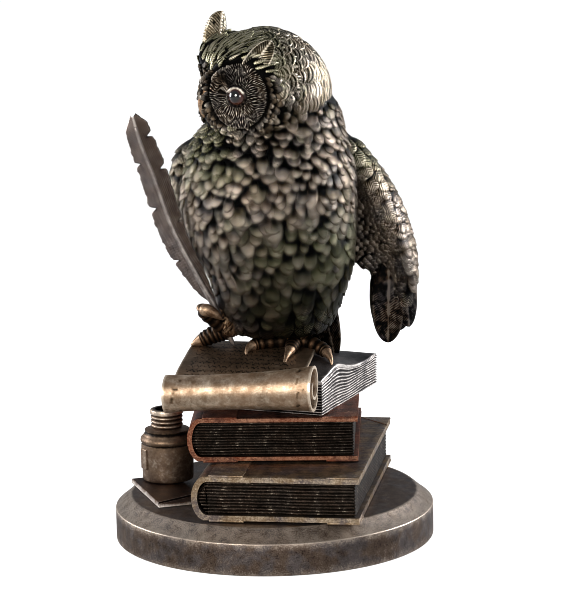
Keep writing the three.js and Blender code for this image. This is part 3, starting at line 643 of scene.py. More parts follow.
def make_barb_group():
    """Slanting barb lines either side of a shaft, from a feather's own millimetres."""
    tree, start, end = node_group(
        "Feather barbs",
        [("Place", "NodeSocketVector", (0, 0, 0)), ("Noise", "NodeSocketFloat", 0.5), ("Pitch", "NodeSocketFloat", 0.9)],
        [("Level", "NodeSocketFloat")],
    )
    wires = Wires(tree)
    split = wires.add("ShaderNodeSeparateXYZ")
    wires.feed(split.inputs[0], start.outputs["Place"])
    off = wires.math("ABSOLUTE", split.outputs[0])
    along = wires.math("SUBTRACT", split.outputs[1], wires.math("MULTIPLY", off, 0.8))
    along = wires.math("ADD", along, wires.math("MULTIPLY", start.outputs["Noise"], 1.6))
    turn = wires.math("MULTIPLY", wires.math("DIVIDE", along, start.outputs["Pitch"]), 2 * math.pi)
    line = wires.math("MULTIPLY", wires.math("COSINE", turn), 0.5)
    shaft = wires.math("SUBTRACT", 1.0, wires.step(off, 0.1, 0.35))
    wires.feed(end.inputs["Level"], wires.math("ADD", line, wires.math("MULTIPLY", shaft, 0.4)))
    return tree


def make_paint_group():
    """Cast relief with dark recesses and dry-brushed ridges, read from the carving attribute."""
    tree, start, end = node_group(
        "Dry-brushed casting",
        [
            ("Recess", "NodeSocketColor", (0.01, 0.008, 0.006, 1)),
            ("Body", "NodeSocketColor", (0.2, 0.12, 0.06, 1)),
            ("Ridge", "NodeSocketColor", (0.8, 0.7, 0.5, 1)),
            ("Patina", "NodeSocketColor", (0.35, 0.36, 0.12, 1)),
            ("Cool", "NodeSocketColor", (0.3, 0.27, 0.3, 1)),
            ("Vector", "NodeSocketVector", (0, 0, 0)),
            ("Grain", "NodeSocketFloat", 900.0),
            ("Grain Strength", "NodeSocketFloat", 0.3),
            ("Barbs", "NodeSocketFloat", 0.0),
        ],
        [("Color", "NodeSocketColor"), ("Roughness", "NodeSocketFloat"), ("Metallic", "NodeSocketFloat"),
         ("Height", "NodeSocketFloat")],
    )
    wires = Wires(tree)
    attribute = wires.add("ShaderNodeAttribute", attribute_name="carving")
    split = wires.add("ShaderNodeSeparateColor")
    wires.feed(split.inputs[0], attribute.outputs["Color"])
    relief, patina, wear_and_shade = split.outputs
    chance = attribute.outputs["Alpha"]
    place = start.outputs["Vector"]
    fine = wires.noise(place, start.outputs["Grain"], 2.0, 0.7)
    broad = wires.noise(place, 95.0, 3.0, 0.6)
    tone = wires.noise(place, 240.0, 2.0, 0.5)
    grain = wires.math("MULTIPLY", wires.math("SUBTRACT", fine, 0.5), start.outputs["Grain Strength"])
    barbs = wires.math("MULTIPLY", start.outputs["Barbs"], wires.step(relief, 0.1, 0.3))
    level = wires.math("ADD", wires.math("ADD", relief, grain), barbs)
    level = wires.math("ADD", level, wires.math("MULTIPLY", wires.math("SUBTRACT", chance, 0.5), 0.3))
    level = wires.math("ADD", level, wires.math("MULTIPLY", wires.math("SUBTRACT", tone, 0.5), 0.5))
    tinted = wires.mix(wires.step(broad, 0.42, 0.6), start.outputs["Body"], start.outputs["Cool"])
    tinted = wires.mix(patina, tinted, start.outputs["Patina"])
    body = wires.mix(wires.step(level, 0.15, 0.6), start.outputs["Recess"], tinted)
    # Painted shade: the third carving channel darkens the body towards the recess colour and dims the worn ridges; it
    # carries rubbing as well as painted shade.
    body = wires.mix(wires.math("MULTIPLY", wires.math("SUBTRACT", 1.0, wear_and_shade), 0.8), body, start.outputs["Recess"])
    worn = wires.math("MULTIPLY", wires.step(level, 0.55, 1.0), wear_and_shade)
    ridge = wires.mix(wires.math("MULTIPLY", patina, 0.6), start.outputs["Ridge"], start.outputs["Patina"])
    color = wires.mix(worn, body, ridge)
    wires.feed(end.inputs["Color"], color)
    wires.feed(end.inputs["Roughness"], wires.math("SUBTRACT", 0.48, wires.math("MULTIPLY", worn, 0.12)))
    wires.feed(end.inputs["Metallic"], wires.math("SUBTRACT", 0.97, wires.math("MULTIPLY", worn, 0.25)))
    wires.feed(end.inputs["Height"], wires.math("ADD", wires.math("ADD", fine, broad), barbs))
    return tree


def finish(name, recess, body, ridge, patina, cool, grain=1500.0, strength=0.4, barbs=0.0, pitch=0.9):
    """One painted bronze: its colours from the recesses to the worn ridges, its grain and its barbs."""
    colors = {"recess": recess, "body": body, "ridge": ridge, "patina": patina, "cool": cool}
    return {"name": name, "colors": colors, "grain": grain, "strength": strength, "barbs": barbs, "pitch": pitch}


FINISHES = {
    "feathers": finish("Feather bronze", (0.001, 0.001, 0.001), (0.1, 0.062, 0.038), (0.62, 0.52, 0.42),
                       (0.13, 0.132, 0.062), (0.085, 0.075, 0.078), barbs=0.8, pitch=1.15),
    "head": finish("Head patina", (0.003, 0.003, 0.002), (0.17, 0.115, 0.07), (0.75, 0.66, 0.54),
                    (0.24, 0.23, 0.13), (0.15, 0.13, 0.11), barbs=0.5, pitch=1.1),
    "face": finish("Face bronze", (0.002, 0.0015, 0.001), (0.08, 0.055, 0.04), (0.62, 0.55, 0.46),
                   (0.09, 0.09, 0.04), (0.07, 0.06, 0.06)),
    "legs": finish("Leg copper", (0.003, 0.002, 0.001), (0.1, 0.05, 0.025), (0.5, 0.33, 0.2),
                   (0.09, 0.09, 0.04), (0.08, 0.05, 0.035)),
    "beak": finish("Beak bronze", (0.008, 0.005, 0.003), (0.14, 0.075, 0.04), (0.6, 0.42, 0.28),
                   (0.2, 0.15, 0.06), (0.12, 0.07, 0.04)),
    "quill": finish("Quill bronze", (0.015, 0.011, 0.01), (0.2, 0.16, 0.145), (0.6, 0.54, 0.5),
                    (0.055, 0.033, 0.02), (0.17, 0.145, 0.14)),
    "book": finish("Book bronze", (0.006, 0.004, 0.003), (0.22, 0.15, 0.09), (0.62, 0.5, 0.36),
                   (0.2, 0.15, 0.1), (0.15, 0.12, 0.11), 1300, 0.9),
    "copper": finish("Book copper", (0.005, 0.003, 0.002), (0.17, 0.05, 0.026), (0.5, 0.24, 0.14),
                     (0.2, 0.1, 0.06), (0.1, 0.04, 0.028), 1300, 0.8),
    "pages": finish("Page bronze", (0.004, 0.003, 0.002), (0.04, 0.027, 0.02), (0.5, 0.42, 0.32),
                    (0.15, 0.1, 0.06), (0.035, 0.027, 0.022), 1600, 1.0),
    "stack": finish("Manuscript bronze", (0.003, 0.002, 0.002), (0.14, 0.125, 0.12), (0.65, 0.6, 0.56),
                    (0.15, 0.1, 0.06), (0.11, 0.1, 0.1), 1500, 0.4),
    "parchment": finish("Parchment bronze", (0.01, 0.007, 0.004), (0.33, 0.22, 0.14), (0.75, 0.62, 0.48),
                        (0.2, 0.15, 0.08), (0.24, 0.16, 0.1), 900, 0.3),
    "bottle": finish("Bottle bronze", (0.01, 0.007, 0.005), (0.2, 0.135, 0.09), (0.6, 0.5, 0.4),
                     (0.15, 0.1, 0.06), (0.15, 0.1, 0.07), 900, 0.4),
    "plinth": finish("Plinth bronze", (0.006, 0.004, 0.003), (0.115, 0.08, 0.06), (0.45, 0.37, 0.3),
                     (0.15, 0.1, 0.06), (0.12, 0.1, 0.095), 1900, 0.9),
    "envelope": finish("Envelope bronze", (0.006, 0.003, 0.002), (0.08, 0.04, 0.022), (0.6, 0.54, 0.48),
                       (0.15, 0.1, 0.06), (0.06, 0.03, 0.02), 1300, 0.4),
}
BUMP_STRENGTH = 0.3
BUMP_DEPTH = 0.0003


def make_material(key, groups):
    """A painted bronze that uses the shared groups with its own colours."""
    paint = FINISHES[key]
    material = bpy.data.materials.new(paint["name"])
    material.use_nodes = True
    tree = material.node_tree
    shader = tree.nodes["Principled BSDF"]
    wires = Wires(tree)
    coordinates = wires.add("ShaderNodeTexCoord")
    group = wires.add("ShaderNodeGroup")
    group.node_tree = groups["paint"]
    for part in paint["colors"]:
        group.inputs[part.title()].default_value = (*getattr(bpy.context.scene.owl_colors, f"{key}_{part}"), 1)
    group.inputs["Grain"].default_value = paint["grain"]
    group.inputs["Grain Strength"].default_value = paint["strength"]
    tree.links.new(coordinates.outputs["Object"], group.inputs["Vector"])
    if paint["barbs"]:
        lines = wires.add("ShaderNodeGroup")
        lines.node_tree = groups["barbs"]
        lines.inputs["Pitch"].default_value = paint["pitch"]
        tree.links.new(coordinates.outputs["UV"], lines.inputs["Place"])
        tree.links.new(wires.noise(coordinates.outputs["Object"], 350.0, 1.0), lines.inputs["Noise"])
        tree.links.new(wires.math("MULTIPLY", lines.outputs["Level"], paint["barbs"]), group.inputs["Barbs"])
    tree.links.new(group.outputs["Color"], shader.inputs["Base Color"])
    tree.links.new(group.outputs["Roughness"], shader.inputs["Roughness"])
    tree.links.new(group.outputs["Metallic"], shader.inputs["Metallic"])
    surface = wires.add("ShaderNodeBump")
    surface.inputs["Strength"].default_value = BUMP_STRENGTH
    surface.inputs["Distance"].default_value = BUMP_DEPTH
    tree.links.new(group.outputs["Height"], surface.inputs["Height"])
    tree.links.new(surface.outputs["Normal"], shader.inputs["Normal"])


def make_eye_material():
    """Dark gloss with a red-brown ring round the pupil."""
    ring = bpy.context.scene.owl_colors.eye_ring
    material = bpy.data.materials.new("Eye gloss")
    material.use_nodes = True
    wires = Wires(material.node_tree)
    shader = material.node_tree.nodes["Principled BSDF"]
    attribute = wires.add("ShaderNodeAttribute", attribute_name="carving")
    split = wires.add("ShaderNodeSeparateColor")
    wires.feed(split.inputs[0], attribute.outputs["Color"])
    coordinates = wires.add("ShaderNodeTexCoord")
    veins = wires.noise(coordinates.outputs["Object"], 900.0, 2.0, 0.6)
    color = wires.mix(split.outputs[0], (0.003, 0.003, 0.004, 1), (*ring, 1))
    color = wires.mix(wires.math("MULTIPLY", wires.step(veins, 0.5, 0.7), 0.3), color, (0.01, 0.005, 0.004, 1))
    wires.feed(shader.inputs["Base Color"], color)
    shader.inputs["Roughness"].default_value = 0.08
    shader.inputs["Coat Weight"].default_value = 1.0
    shader.inputs["Coat Roughness"].default_value = 0.03


# The owl's body

def make_body_skins():
    """The owl's bare body, head and wings, as dark cores that the feathers are laid on."""
    dark = lambda u, v: carve(0.08 + 0 * u)
    torso = grid_form("torso_core", 64, 56, lambda u, v: torso_point(2 * math.pi * u, 210 - 113 * v), dark, True)
    head = grid_form("head_core", 120, 90, lambda u, v: head_point(math.pi * (0.004 + 0.992 * v), 2 * math.pi * u),
                     dark, True)
    near = grid_form("near_wing_core", 72, 60, lambda u, v: near_wing_point(u, 192 - 86 * v), dark, True)
    far = grid_form("far_wing_core", 48, 50, lambda u, v: far_wing_point(u, 190 - 88 * v), dark, True)
    return {"torso": torso, "head": head, "near": near, "far": far}


def make_torso_feathers(skin, kinds):
    """Scales on the breast that grow into long drops down the belly."""
    rows = [206]
    while rows[-1] > 99:
        rows.append(rows[-1] - (3.2 + 1.6 * float(smooth(200 - rows[-1], 0, 60))))

    def point(around, z):
        return torso_point(2 * math.pi * around, z)

    places, ways, around, z = rows_of_feathers(point, rows, lambda z: 4.1 + 1.3 * float(smooth(200 - z, 0, 60)),
                                               way_jitter=0.2, place_jitter=0.28)
    count = len(places)
    size = np.clip(1 + 0.2 * random.normal(size=count), 0.7, 1.5)
    size = np.where(random.random(count) < 0.04, 1.6, size)
    slim = np.clip(1 + 0.12 * random.normal(size=count), 0.8, 1.2)
    sizes = bpy.context.scene.owl_sizes
    widths = (sizes.breast_width / MM - 1.7 * (1 - smooth(200 - z, 0, 60))) * size / slim
    lengths = (sizes.breast_length / MM - 3.4 * (1 - smooth(200 - z, 0, 50))) * size * slim
    upper_left = smooth(-places[:, 0], 2, 26) * smooth(z, 168, 186)
    lower = 0.75 * smooth(168 - z, 0, 20) * smooth(places[:, 0], -30, 10)
    patina = np.clip(np.maximum(upper_left, lower) + random.normal(0, 0.2, count), 0, 1)
    # Painted light and shade: feathers are lighter towards the left, where the key light falls, and darker down the
    # belly and between the legs.
    light = 0.75 + 0.25 * smooth(-places[:, 0], 0, 25) - 0.3 * smooth(160 - z, 0, 30) - 0.4 * smooth(133 - z, 0, 20)
    wear_and_shade = np.clip(light + random.normal(0, 0.14, count), 0.02, 1)
    return lay_feathers("breast_feathers", kinds["oval"], skin, places, ways, widths, lengths,
                        np.full(count, 1.15), patina, wear_and_shade)


def from_eye(local):
    """How far a place in the head's axes is from the nearer eye."""
    eye = np.array([EYE_PLACE["forward"], EYE_PLACE["side"], EYE_PLACE["up"]])
    folded = np.stack([local[:, 0], np.abs(local[:, 1]), local[:, 2]], -1)
    return np.linalg.norm(folded - eye, axis=1)


def make_head_feathers(skin, kinds):
    """Long streaks over the head, nested crescents on the nape and small ovals on the cheeks."""
    chosen = bpy.context.scene.owl_sizes
    forms = []
    layers = (
        ("streak", 0.3, 1.5, 1.9, 4.2, chosen.streak_width / MM, 9.5, lambda up, face: up + 6 * (1.5 - face) > 6),
        ("crescent", 1.25, 2.8, 6.2, 4.2, chosen.nape_width / MM, 9.4, lambda up, face: up + 18 * (face - 1.45) > 0),
        ("oval", 0.9, 1.6, 3.8, 3.4, 4.4, 6.0, lambda up, face: up < 10),
    )
    for kind, first, last, gap, step, width, length, inside in layers:
        faces, arounds = [], []
        for k, face in enumerate(np.arange(first, last, step / 30)):
            count = max(6, int(2 * math.pi * 30 * math.sin(face) / gap))
            arounds.append((np.arange(count) + 0.5 * (k % 2) + random.uniform(-0.2, 0.2, count)) / count * 2 * math.pi)
            faces.append(face + random.uniform(-0.2, 0.2, count) * step / 30)
        faces, around = np.concatenate(faces), np.concatenate(arounds)
        places = head_point(faces, around)
        ways = unit(head_point(faces + 0.03, around) - places)
        local = head_axes_of(places)
        keep = (from_eye(local) > 14.5) & (places[:, 2] > 192) & inside(local[:, 2], faces)
        keep &= ~((local[:, 0] > 20) & (local[:, 2] < 9) & (np.abs(local[:, 1]) < 8))
        places, ways, local, faces = places[keep], ways[keep], local[keep], faces[keep]
        count = len(places)
        ways = unit(ways + np.cross(ways, unit(places - HEAD_CENTRE)) * random.normal(0, 0.12, count)[:, None])
        size = np.clip(1 + 0.15 * random.normal(size=count), 0.75, 1.3)
        high = smooth(local[:, 2], 0, 14)
        patina = np.clip(high * (1 - 0.85 * smooth(faces, 1.0, 1.7)) + random.normal(0, 0.15, count), 0, 1)
        light = {"streak": 1.0, "crescent": 0.95, "oval": 0.65}[kind]
        wear_and_shade = np.clip(light + random.normal(0, 0.12, count), 0.1, 1)
        forms.append(lay_feathers("head_" + kind, kinds[kind], skin, places, ways, width * size, length * size,
                                  np.full(count, 0.9), patina, wear_and_shade))
    return join("head_feathers", forms)


def eye_frame(side):
    """An eye's centre, the way it looks and two axes across it, the second one upward."""
    centre = np.array([EYE_PLACE["forward"], side * EYE_PLACE["side"], EYE_PLACE["up"]])
    out = unit(centre / np.array([HEAD_SIZE["forward"], HEAD_SIZE["side"], HEAD_SIZE["up"]]) ** 2)
    across = unit(np.cross([0, 0, 1], out))
    up = np.cross(out, across)
    return in_head(centre), out @ HEAD_TURN.T, across @ HEAD_TURN.T, up @ HEAD_TURN.T


def make_face_disc(side, skin):
    """Fine wavy rays from an eye to its ruff, carved over the face."""
    centre, out, across, up = eye_frame(side)
    chosen = bpy.context.scene.owl_sizes
    rays, inner, outer = chosen.disc_rays, 3.4, chosen.disc_reach / MM
    rows, hidden_rows = 30, 3

    def carved_row(v):
        """Where a row lies over the rays, from 0 to 1, and whether it is one that closes the disc from within."""
        row = np.rint(v * (rows + hidden_rows)).astype(int)
        hidden = (row > rows) & (row < rows + hidden_rows)
        return np.select([row <= rows, row == rows + 1, row == rows + 2], [row / rows, 0.97, 0.03], 0.0), hidden

    def polar(u, v):
        angle = 2 * math.pi * u
        reach = inner + (outer - inner) * v
        return angle, reach

    def ridge(u, v):
        angle, reach = polar(u, v)
        swirl = 0.07 * np.sin(reach * 0.4 + 2 * np.sin(angle * 3)) + 0.012 * np.sin(reach * 1.3 + 9 * angle)
        phase = rays * (angle + swirl * smooth(v, 0, 0.4))
        split = smooth(reach, 9.5, 11)
        wave = (0.5 + 0.5 * np.cos(phase)) * (1 - split) + (0.5 + 0.5 * np.cos(2 * phase)) * split
        broken = 0.75 + 0.25 * np.sin(reach * 1.9 + 4 * np.sin(angle * 11) + side)
        return wave**1.4 * broken

    def place(u, v):
        v, hidden = carved_row(v)
        angle, reach = polar(u, v)
        flat = (centre + across * (reach * np.cos(angle))[:, None] + up * (reach * np.sin(angle))[:, None]
                + out * 2.0)
        base, normals = skin.nearest(flat)
        fade = smooth(v, 0, 0.1) * (1 - smooth(v, 0.94, 1))
        height = 0.12 + (0.85 * ridge(u, v) + 0.25) * fade - 0.7 * smooth(v, 0.95, 1)
        return base + normals * np.where(hidden, -2.2, height)[:, None]

    def carving(u, v):
        v, hidden = carved_row(v)
        angle, reach = polar(u, v)
        relief = np.clip(ridge(u, v) * 1.15 - 0.05, 0, 1) * (0.5 + 0.5 * smooth(v, 0.0, 0.25))
        # Painted shadow: a sector of each disc at the inner upper edge of the eye is darkened, under the brow.
        dark = 0.75 * bump(angle - (2.3 if side > 0 else 0.8), 0.5) * (1 - smooth(v, 0.55, 0.95))
        return carve(np.clip(relief * (1 - dark), 0, 1), 0.1, 1.0, 0.5)

    return grid_form("face_disc", 432, rows + hidden_rows, place, carving, tube=True)


def make_ruff(skin, kinds):
    """The rim of short stiff feathers round both discs."""
    places, ways, sizes = [], [], []
    for side in (1, -1):
        centre, out, across, up = eye_frame(side)
        for ring, (reach, gap, size) in enumerate(((14.6, 2.0, 1.0), (17.0, 2.5, 1.15))):
            count = int(2 * math.pi * reach / gap)
            angle = (np.arange(count) + 0.5 * ring + random.uniform(-0.2, 0.2, count)) / count * 2 * math.pi
            ray = across * np.cos(angle)[:, None] + up * np.sin(angle)[:, None]
            spot = centre + ray * reach + out * 2
            local = head_axes_of(spot)
            keep = (local[:, 1] * side > 4.5) & (local[:, 2] < 13)
            places.append(spot[keep])
            ways.append(ray[keep])
            sizes.append(np.full(keep.sum(), size))
    places, ways, sizes = np.concatenate(places), np.concatenate(ways), np.concatenate(sizes)
    count = len(places)
    sizes = sizes * np.clip(1 + 0.15 * random.normal(size=count), 0.7, 1.3)
    return lay_feathers("ruff", kinds["oval"], skin, places, ways, 2.9 * sizes, 4.6 * sizes, np.full(count, 1.1),
                        np.full(count, 0.15), np.full(count, 1.0))


def make_eyelid(side):
    """The rolled lids round an eye; the upper lid is heavier."""
    centre, out, across, up = eye_frame(side)

    def place(u, v):
        angle, turn = 2 * math.pi * v, 2 * math.pi * u
        heavy = smooth(np.sin(angle), -0.2, 0.7)
        thick = 0.75 + 0.45 * heavy
        reach = 4.55 - 0.5 * heavy
        ray = across * np.cos(angle)[:, None] + up * (np.sin(angle) * (1 - 0.1 * heavy))[:, None]
        ring = centre + ray * reach[:, None] + out * (1.6 + 0.5 * heavy)[:, None]
        return ring + ray * (thick * np.cos(turn))[:, None] + out * (thick * np.sin(turn))[:, None]

    def carving(u, v):
        heavy = smooth(np.sin(2 * math.pi * v), 0, 0.6)
        return carve(0.25 + 0.7 * heavy * bump(u - 0.25, 0.16) + 0.1 * np.sin(v * 90), 0, 1, 0.6)

    return grid_form("eyelid", 16, 64, place, carving, tube=True)


def make_beak():
    """The hooked bill between the discs."""
    keys = [[26.5, 0, 7, 2.4], [29.6, 0, 3, 3.2], [31.4, 0, -2, 2.7], [31.8, 0, -6.4, 1.6], [31.0, 0, -9.8, 0.5]]
    path = [[*in_head([f, s, u]), r] for f, s, u, r in keys]
    return tube_form("beak", path, 24, 40, carving=lambda u, v: carve(
        0.55 + 0.4 * bump(u - 0.25, 0.1) + 0.25 * bump(v - 0.8, 0.2), 0, 1, 0.5), up=HEAD_TURN[:, 1])


def make_ear_tufts():
    """Two cupped leaves that stand up behind the brows."""
    forms = []
    for side, tip, face, width in ((1, (8.5, 24, 30), (4, 9, 0), 11), (-1, (15.4, -21, 34.6), (2, -9, 0), 13)):
        root = in_head([19, side * 17, 11])
        forms.append(leaf_form("ear_tuft", root, in_head(tip), HEAD_TURN @ np.array(face), width, thickness=2.4,
                               cup=0.55, barb_pitch=1.5, barb_depth=0.5, columns=26, rows=90, full_at=0.4,
                               point_at=0.5, patina=0.25))
    return join("ear_tufts", forms)


def make_near_wing(skin, kinds):
    """The half-open wing: small bricks inside, a leading band, and long coverts outside."""
    forms = []
    rows = np.arange(188, 112, -3.4)
    layers = (
        ("brick", np.arange(190, 113, -2.1), 3.0, 3.2, 3.6, lambda a: a < 0.3, 0.6),
        ("brick", np.arange(190, 110, -1.7), 2.0, 2.2, 2.8, lambda a: (a >= 0.29) & (a < 0.42), 0.8),
        ("oval", rows, 5.4, 7.0, 10.0, lambda a: (a >= 0.4) & (a < 0.7), 1.2),
        ("oval", rows, 6.0, 7.6, 10.0, lambda a: a >= 0.68, 1.2),
    )
    for kind, heights, gap, width, length, inside, lift in layers:
        places, ways, around, z = rows_of_feathers(
            near_wing_point, heights, lambda z: gap, keep=lambda p, a, z: inside(a), way_jitter=0.1)
        count = len(places)
        size = np.clip(1 + 0.14 * random.normal(size=count), 0.75, 1.3)
        high = smooth(z, 160, 185)
        shade = {"brick": 0.45, "oval": 0.85}[kind] - (0.35 if lift == 0.8 else 0) * smooth(150 - z, 0, 25)
        wear_and_shade = np.clip(shade + 0.1 * high + random.normal(0, 0.12, count), 0.02, 1)
        forms.append(lay_feathers("near_wing", kinds[kind], skin, places, ways, width * size, length * size,
                                  np.full(count, lift), np.clip(0.7 * high + random.normal(0, 0.1, count), 0, 1), wear_and_shade))
    return join("near_wing_feathers", forms)


def make_near_wing_primaries():
    """The long flight feathers that hang below the half-open wing."""
    feathers = (
        ((62, 12, 132), (65, 12.5, 95.6), (0.35, -1, 0), 12, 0.0),
        ((56, 11, 130), (55, 10.5, 88.6), (0, -1, 0), 16, 0.0),
        ((52, 14, 130), (50.8, 14, 95.8), (-0.2, -1, 0), 9.5, 0.0),
        ((61, 16, 132), (60.5, 17, 93), (0, 1, 0), 14, 0.0),
        ((66, 14, 128), (67.3, 15, 103), (1, -0.4, 0), 10, 0.0),
    )
    forms = [leaf_form("primary", root, tip, face, width, thickness=2.2, wear_and_shade=0.12, bend=bend)
             for root, tip, face, width, bend in feathers]
    return join("near_wing_primaries", forms)


def make_far_wing(skin, kinds):
    """The folded wing's coverts, larger towards its lower end."""
    places, ways, around, z = rows_of_feathers(far_wing_point, np.arange(188, 106, -4.4), lambda z: 5.6)
    count = len(places)
    size = np.clip(1 + 0.12 * random.normal(size=count), 0.8, 1.3) * (1 + 0.4 * smooth(150 - z, 0, 30))
    wear_and_shade = np.clip(0.8 + random.normal(0, 0.15, count), 0.1, 1)
    return lay_feathers("far_wing_feathers", kinds["oval"], skin, places, ways, 7 * size, 10 * size,
                        np.full(count, 1.2), np.clip(0.4 * smooth(z, 160, 185), 0, 1), wear_and_shade)


def make_tail():
    """The spread tail, one blade for each feather."""
    tips = ((-1, 33.5, 85), (8, 33.5, 83), (17, 33, 80.5), (25, 31, 79), (30, 28, 78))
    forms = [leaf_form("tail_feather", (0.55 * x + 5.4, 27, 124), (x, y, z), (0.15, 1, 0.1), 12, thickness=2.6,
                       wear_and_shade=0.12) for x, y, z in tips]
    return join("tail", forms)


LEGS = [
    [[12, 5, 118, 11], [12, 3.5, 108, 10], [11.5, 2, 99, 7.5], [11, 1.5, 92.6, 4.5]],
    [[-9, 5, 116, 10], [-14, 4, 108, 8.5], [-19, 3, 101.5, 5.5], [-21.5, 2.5, 97, 3.6]],
]
TOES = [
    [[9, 1, 92.5, 4.2], [0, -1.5, 92.4, 3.4], [-6.5, -3, 91.8, 3.3], [-9.5, -5, 91.2, 2.2],
     [-11.3, -8, 89.8, 1.2], [-11.9, -10.4, 87.9, 0.4]],
    [[11, 0, 92.5, 4.2], [10.2, -6, 92, 3.4], [9.3, -11, 91.2, 3.1], [8.3, -14.5, 90.4, 2.1],
     [6.9, -18.8, 88.8, 1.2], [5.9, -22, 86.5, 0.4]],
    [[13, 1, 92.5, 4.2], [19.5, -4, 91.4, 3.3], [24.6, -9, 89.4, 3.1], [26, -12.2, 88.5, 2.1],
     [27.4, -15.6, 86.6, 1.2], [27.9, -17.6, 84.2, 0.4]],
    [[11, 3, 93, 4.2], [13, 10, 92.6, 3.2], [14, 16, 92.2, 2.4], [14.5, 20, 90.4, 0.9]],
    [[-21.5, 2.5, 97.5, 4.6], [-26, 3.5, 95.8, 4.2], [-31, 4.2, 93.4, 3.6], [-34.5, 4.4, 91.8, 2.4],
     [-37.6, 4.4, 90.2, 0.7]],
    [[-21.5, 1.5, 98, 3.8], [-26, -1, 102.5, 3.1], [-30.5, -4.4, 107, 3], [-30, -7, 109.3, 3],
     [-26.5, -7.8, 107.9, 2.4], [-22.8, -7.2, 105, 0.7]],
    [[-21, 4, 98, 3.8], [-25, 6.4, 103, 2.7], [-30, 5.6, 107, 2.4], [-33, 2.5, 108.5, 1.8],
     [-33.2, -1, 107.5, 0.6]],
]


def make_legs(kinds):
    """Shaggy thighs of long hair-like feathers."""
    strand = bpy.context.scene.owl_sizes.thigh_width / MM
    forms = []
    for leg in LEGS:
        core = tube_form("leg_core", leg, 32, 24, carving=lambda u, v: carve(0.12 + 0 * u), up=(0, 1, 0))
        skin = Skin(core)
        run = smooth_run([[i / (len(leg) - 1), *key] for i, key in enumerate(leg)])

        def point(around, share):
            key = run(share)
            angle = 2 * math.pi * np.asarray(around)
            return np.stack([key[:, 0] + key[:, 3] * np.cos(angle), key[:, 1] + key[:, 3] * np.sin(angle), key[:, 2]],
                            -1)

        places, ways, around, share = rows_of_feathers(point, np.arange(0.02, 0.96, 0.085), lambda s: 1.25,
                                                       way_jitter=0.3, place_jitter=0.3)
        count = len(places)
        size = np.clip(1 + 0.2 * random.normal(size=count), 0.7, 1.4)
        forms += [core, lay_feathers("thigh", kinds["strand"], skin, places, ways, strand * size,
                                     (6.2 - 2.2 * share) * size, np.full(count, 1.3), np.full(count, 0.1),
                                     np.clip(0.75 + random.normal(0, 0.2, count), 0.1, 1))]
    return join("legs", forms)


def make_toes():
    """Ringed toes, with smooth hooked claws."""
    forms = []
    for toe in TOES:
        claw_from = 1 - 2.4 / (len(toe) - 1) if len(toe) > 5 else 0.62

        def radius(u, v, reach):
            ring = 0.5 + 0.5 * np.cos(v * 2 * math.pi * 9 + 0.3 * np.cos(2 * math.pi * u))
            return reach * (1 + 0.13 * (ring - 0.4) * (1 - smooth(v, claw_from - 0.05, claw_from)))

        def carving(u, v):
            ring = 0.5 + 0.5 * np.cos(v * 2 * math.pi * 9)
            claw = smooth(v, claw_from - 0.03, claw_from + 0.03)
            return carve(np.clip(0.05 + 0.5 * ring * (1 - claw) + 0.66 * claw, 0, 1), 0, 0.35 + 0.65 * claw, 0.5)

        forms.append(tube_form("toe", toe, 20, 64, radius, carving=carving))
    return join("toes", forms)


def make_eye(side):
    """A glossy eye with its dark pupil facing out."""
    centre, out, across, up = eye_frame(side)
    deselect()
    bpy.ops.mesh.primitive_uv_sphere_add(segments=48, ring_count=24, radius=1)
    form = bpy.context.object
    form.name = form.data.name = "left_eye_ball" if side > 0 else "right_eye_ball"
    flat = np.zeros(len(form.data.vertices) * 3)
    form.data.vertices.foreach_get("co", flat)
    ball = flat.reshape(-1, 3)
    points = centre + EYE_RADIUS * (ball[:, :1] * across + ball[:, 1:2] * up + ball[:, 2:] * out)
    set_points(form.data, points)
    angle = np.degrees(np.arccos(np.clip(ball[:, 2], -1, 1)))
    set_carving(form.data, carve(smooth(angle, 34, 42) * (1 - smooth(angle, 56, 66))))
    bpy.ops.object.shade_smooth()
    return form


# Quill

QUILL_LINE = smooth_run([
    [0, -17.2, 2.2, 90.2, 0, 0], [0.14, -23, 0.6, 102, 0, 0], [0.18, -25.2, -0.9, 108, 0.6, 0.6],
    [0.26, -29.2, -2.1, 115.6, 4, 2.4], [0.38, -34.8, -4, 127.2, 6.6, 3.6], [0.5, -40, -5.9, 137.9, 7.6, 4.2],
    [0.64, -46.2, -8.2, 153, 7.5, 5.6], [0.78, -52.4, -11.6, 173.2, 6.8, 6.6], [0.9, -57.4, -14, 187.3, 5.9, 6.4],
    [0.965, -59.8, -15.6, 196.3, 4.9, 5], [1, -61, -16.3, 201.4, 1.2, 1.4],
])


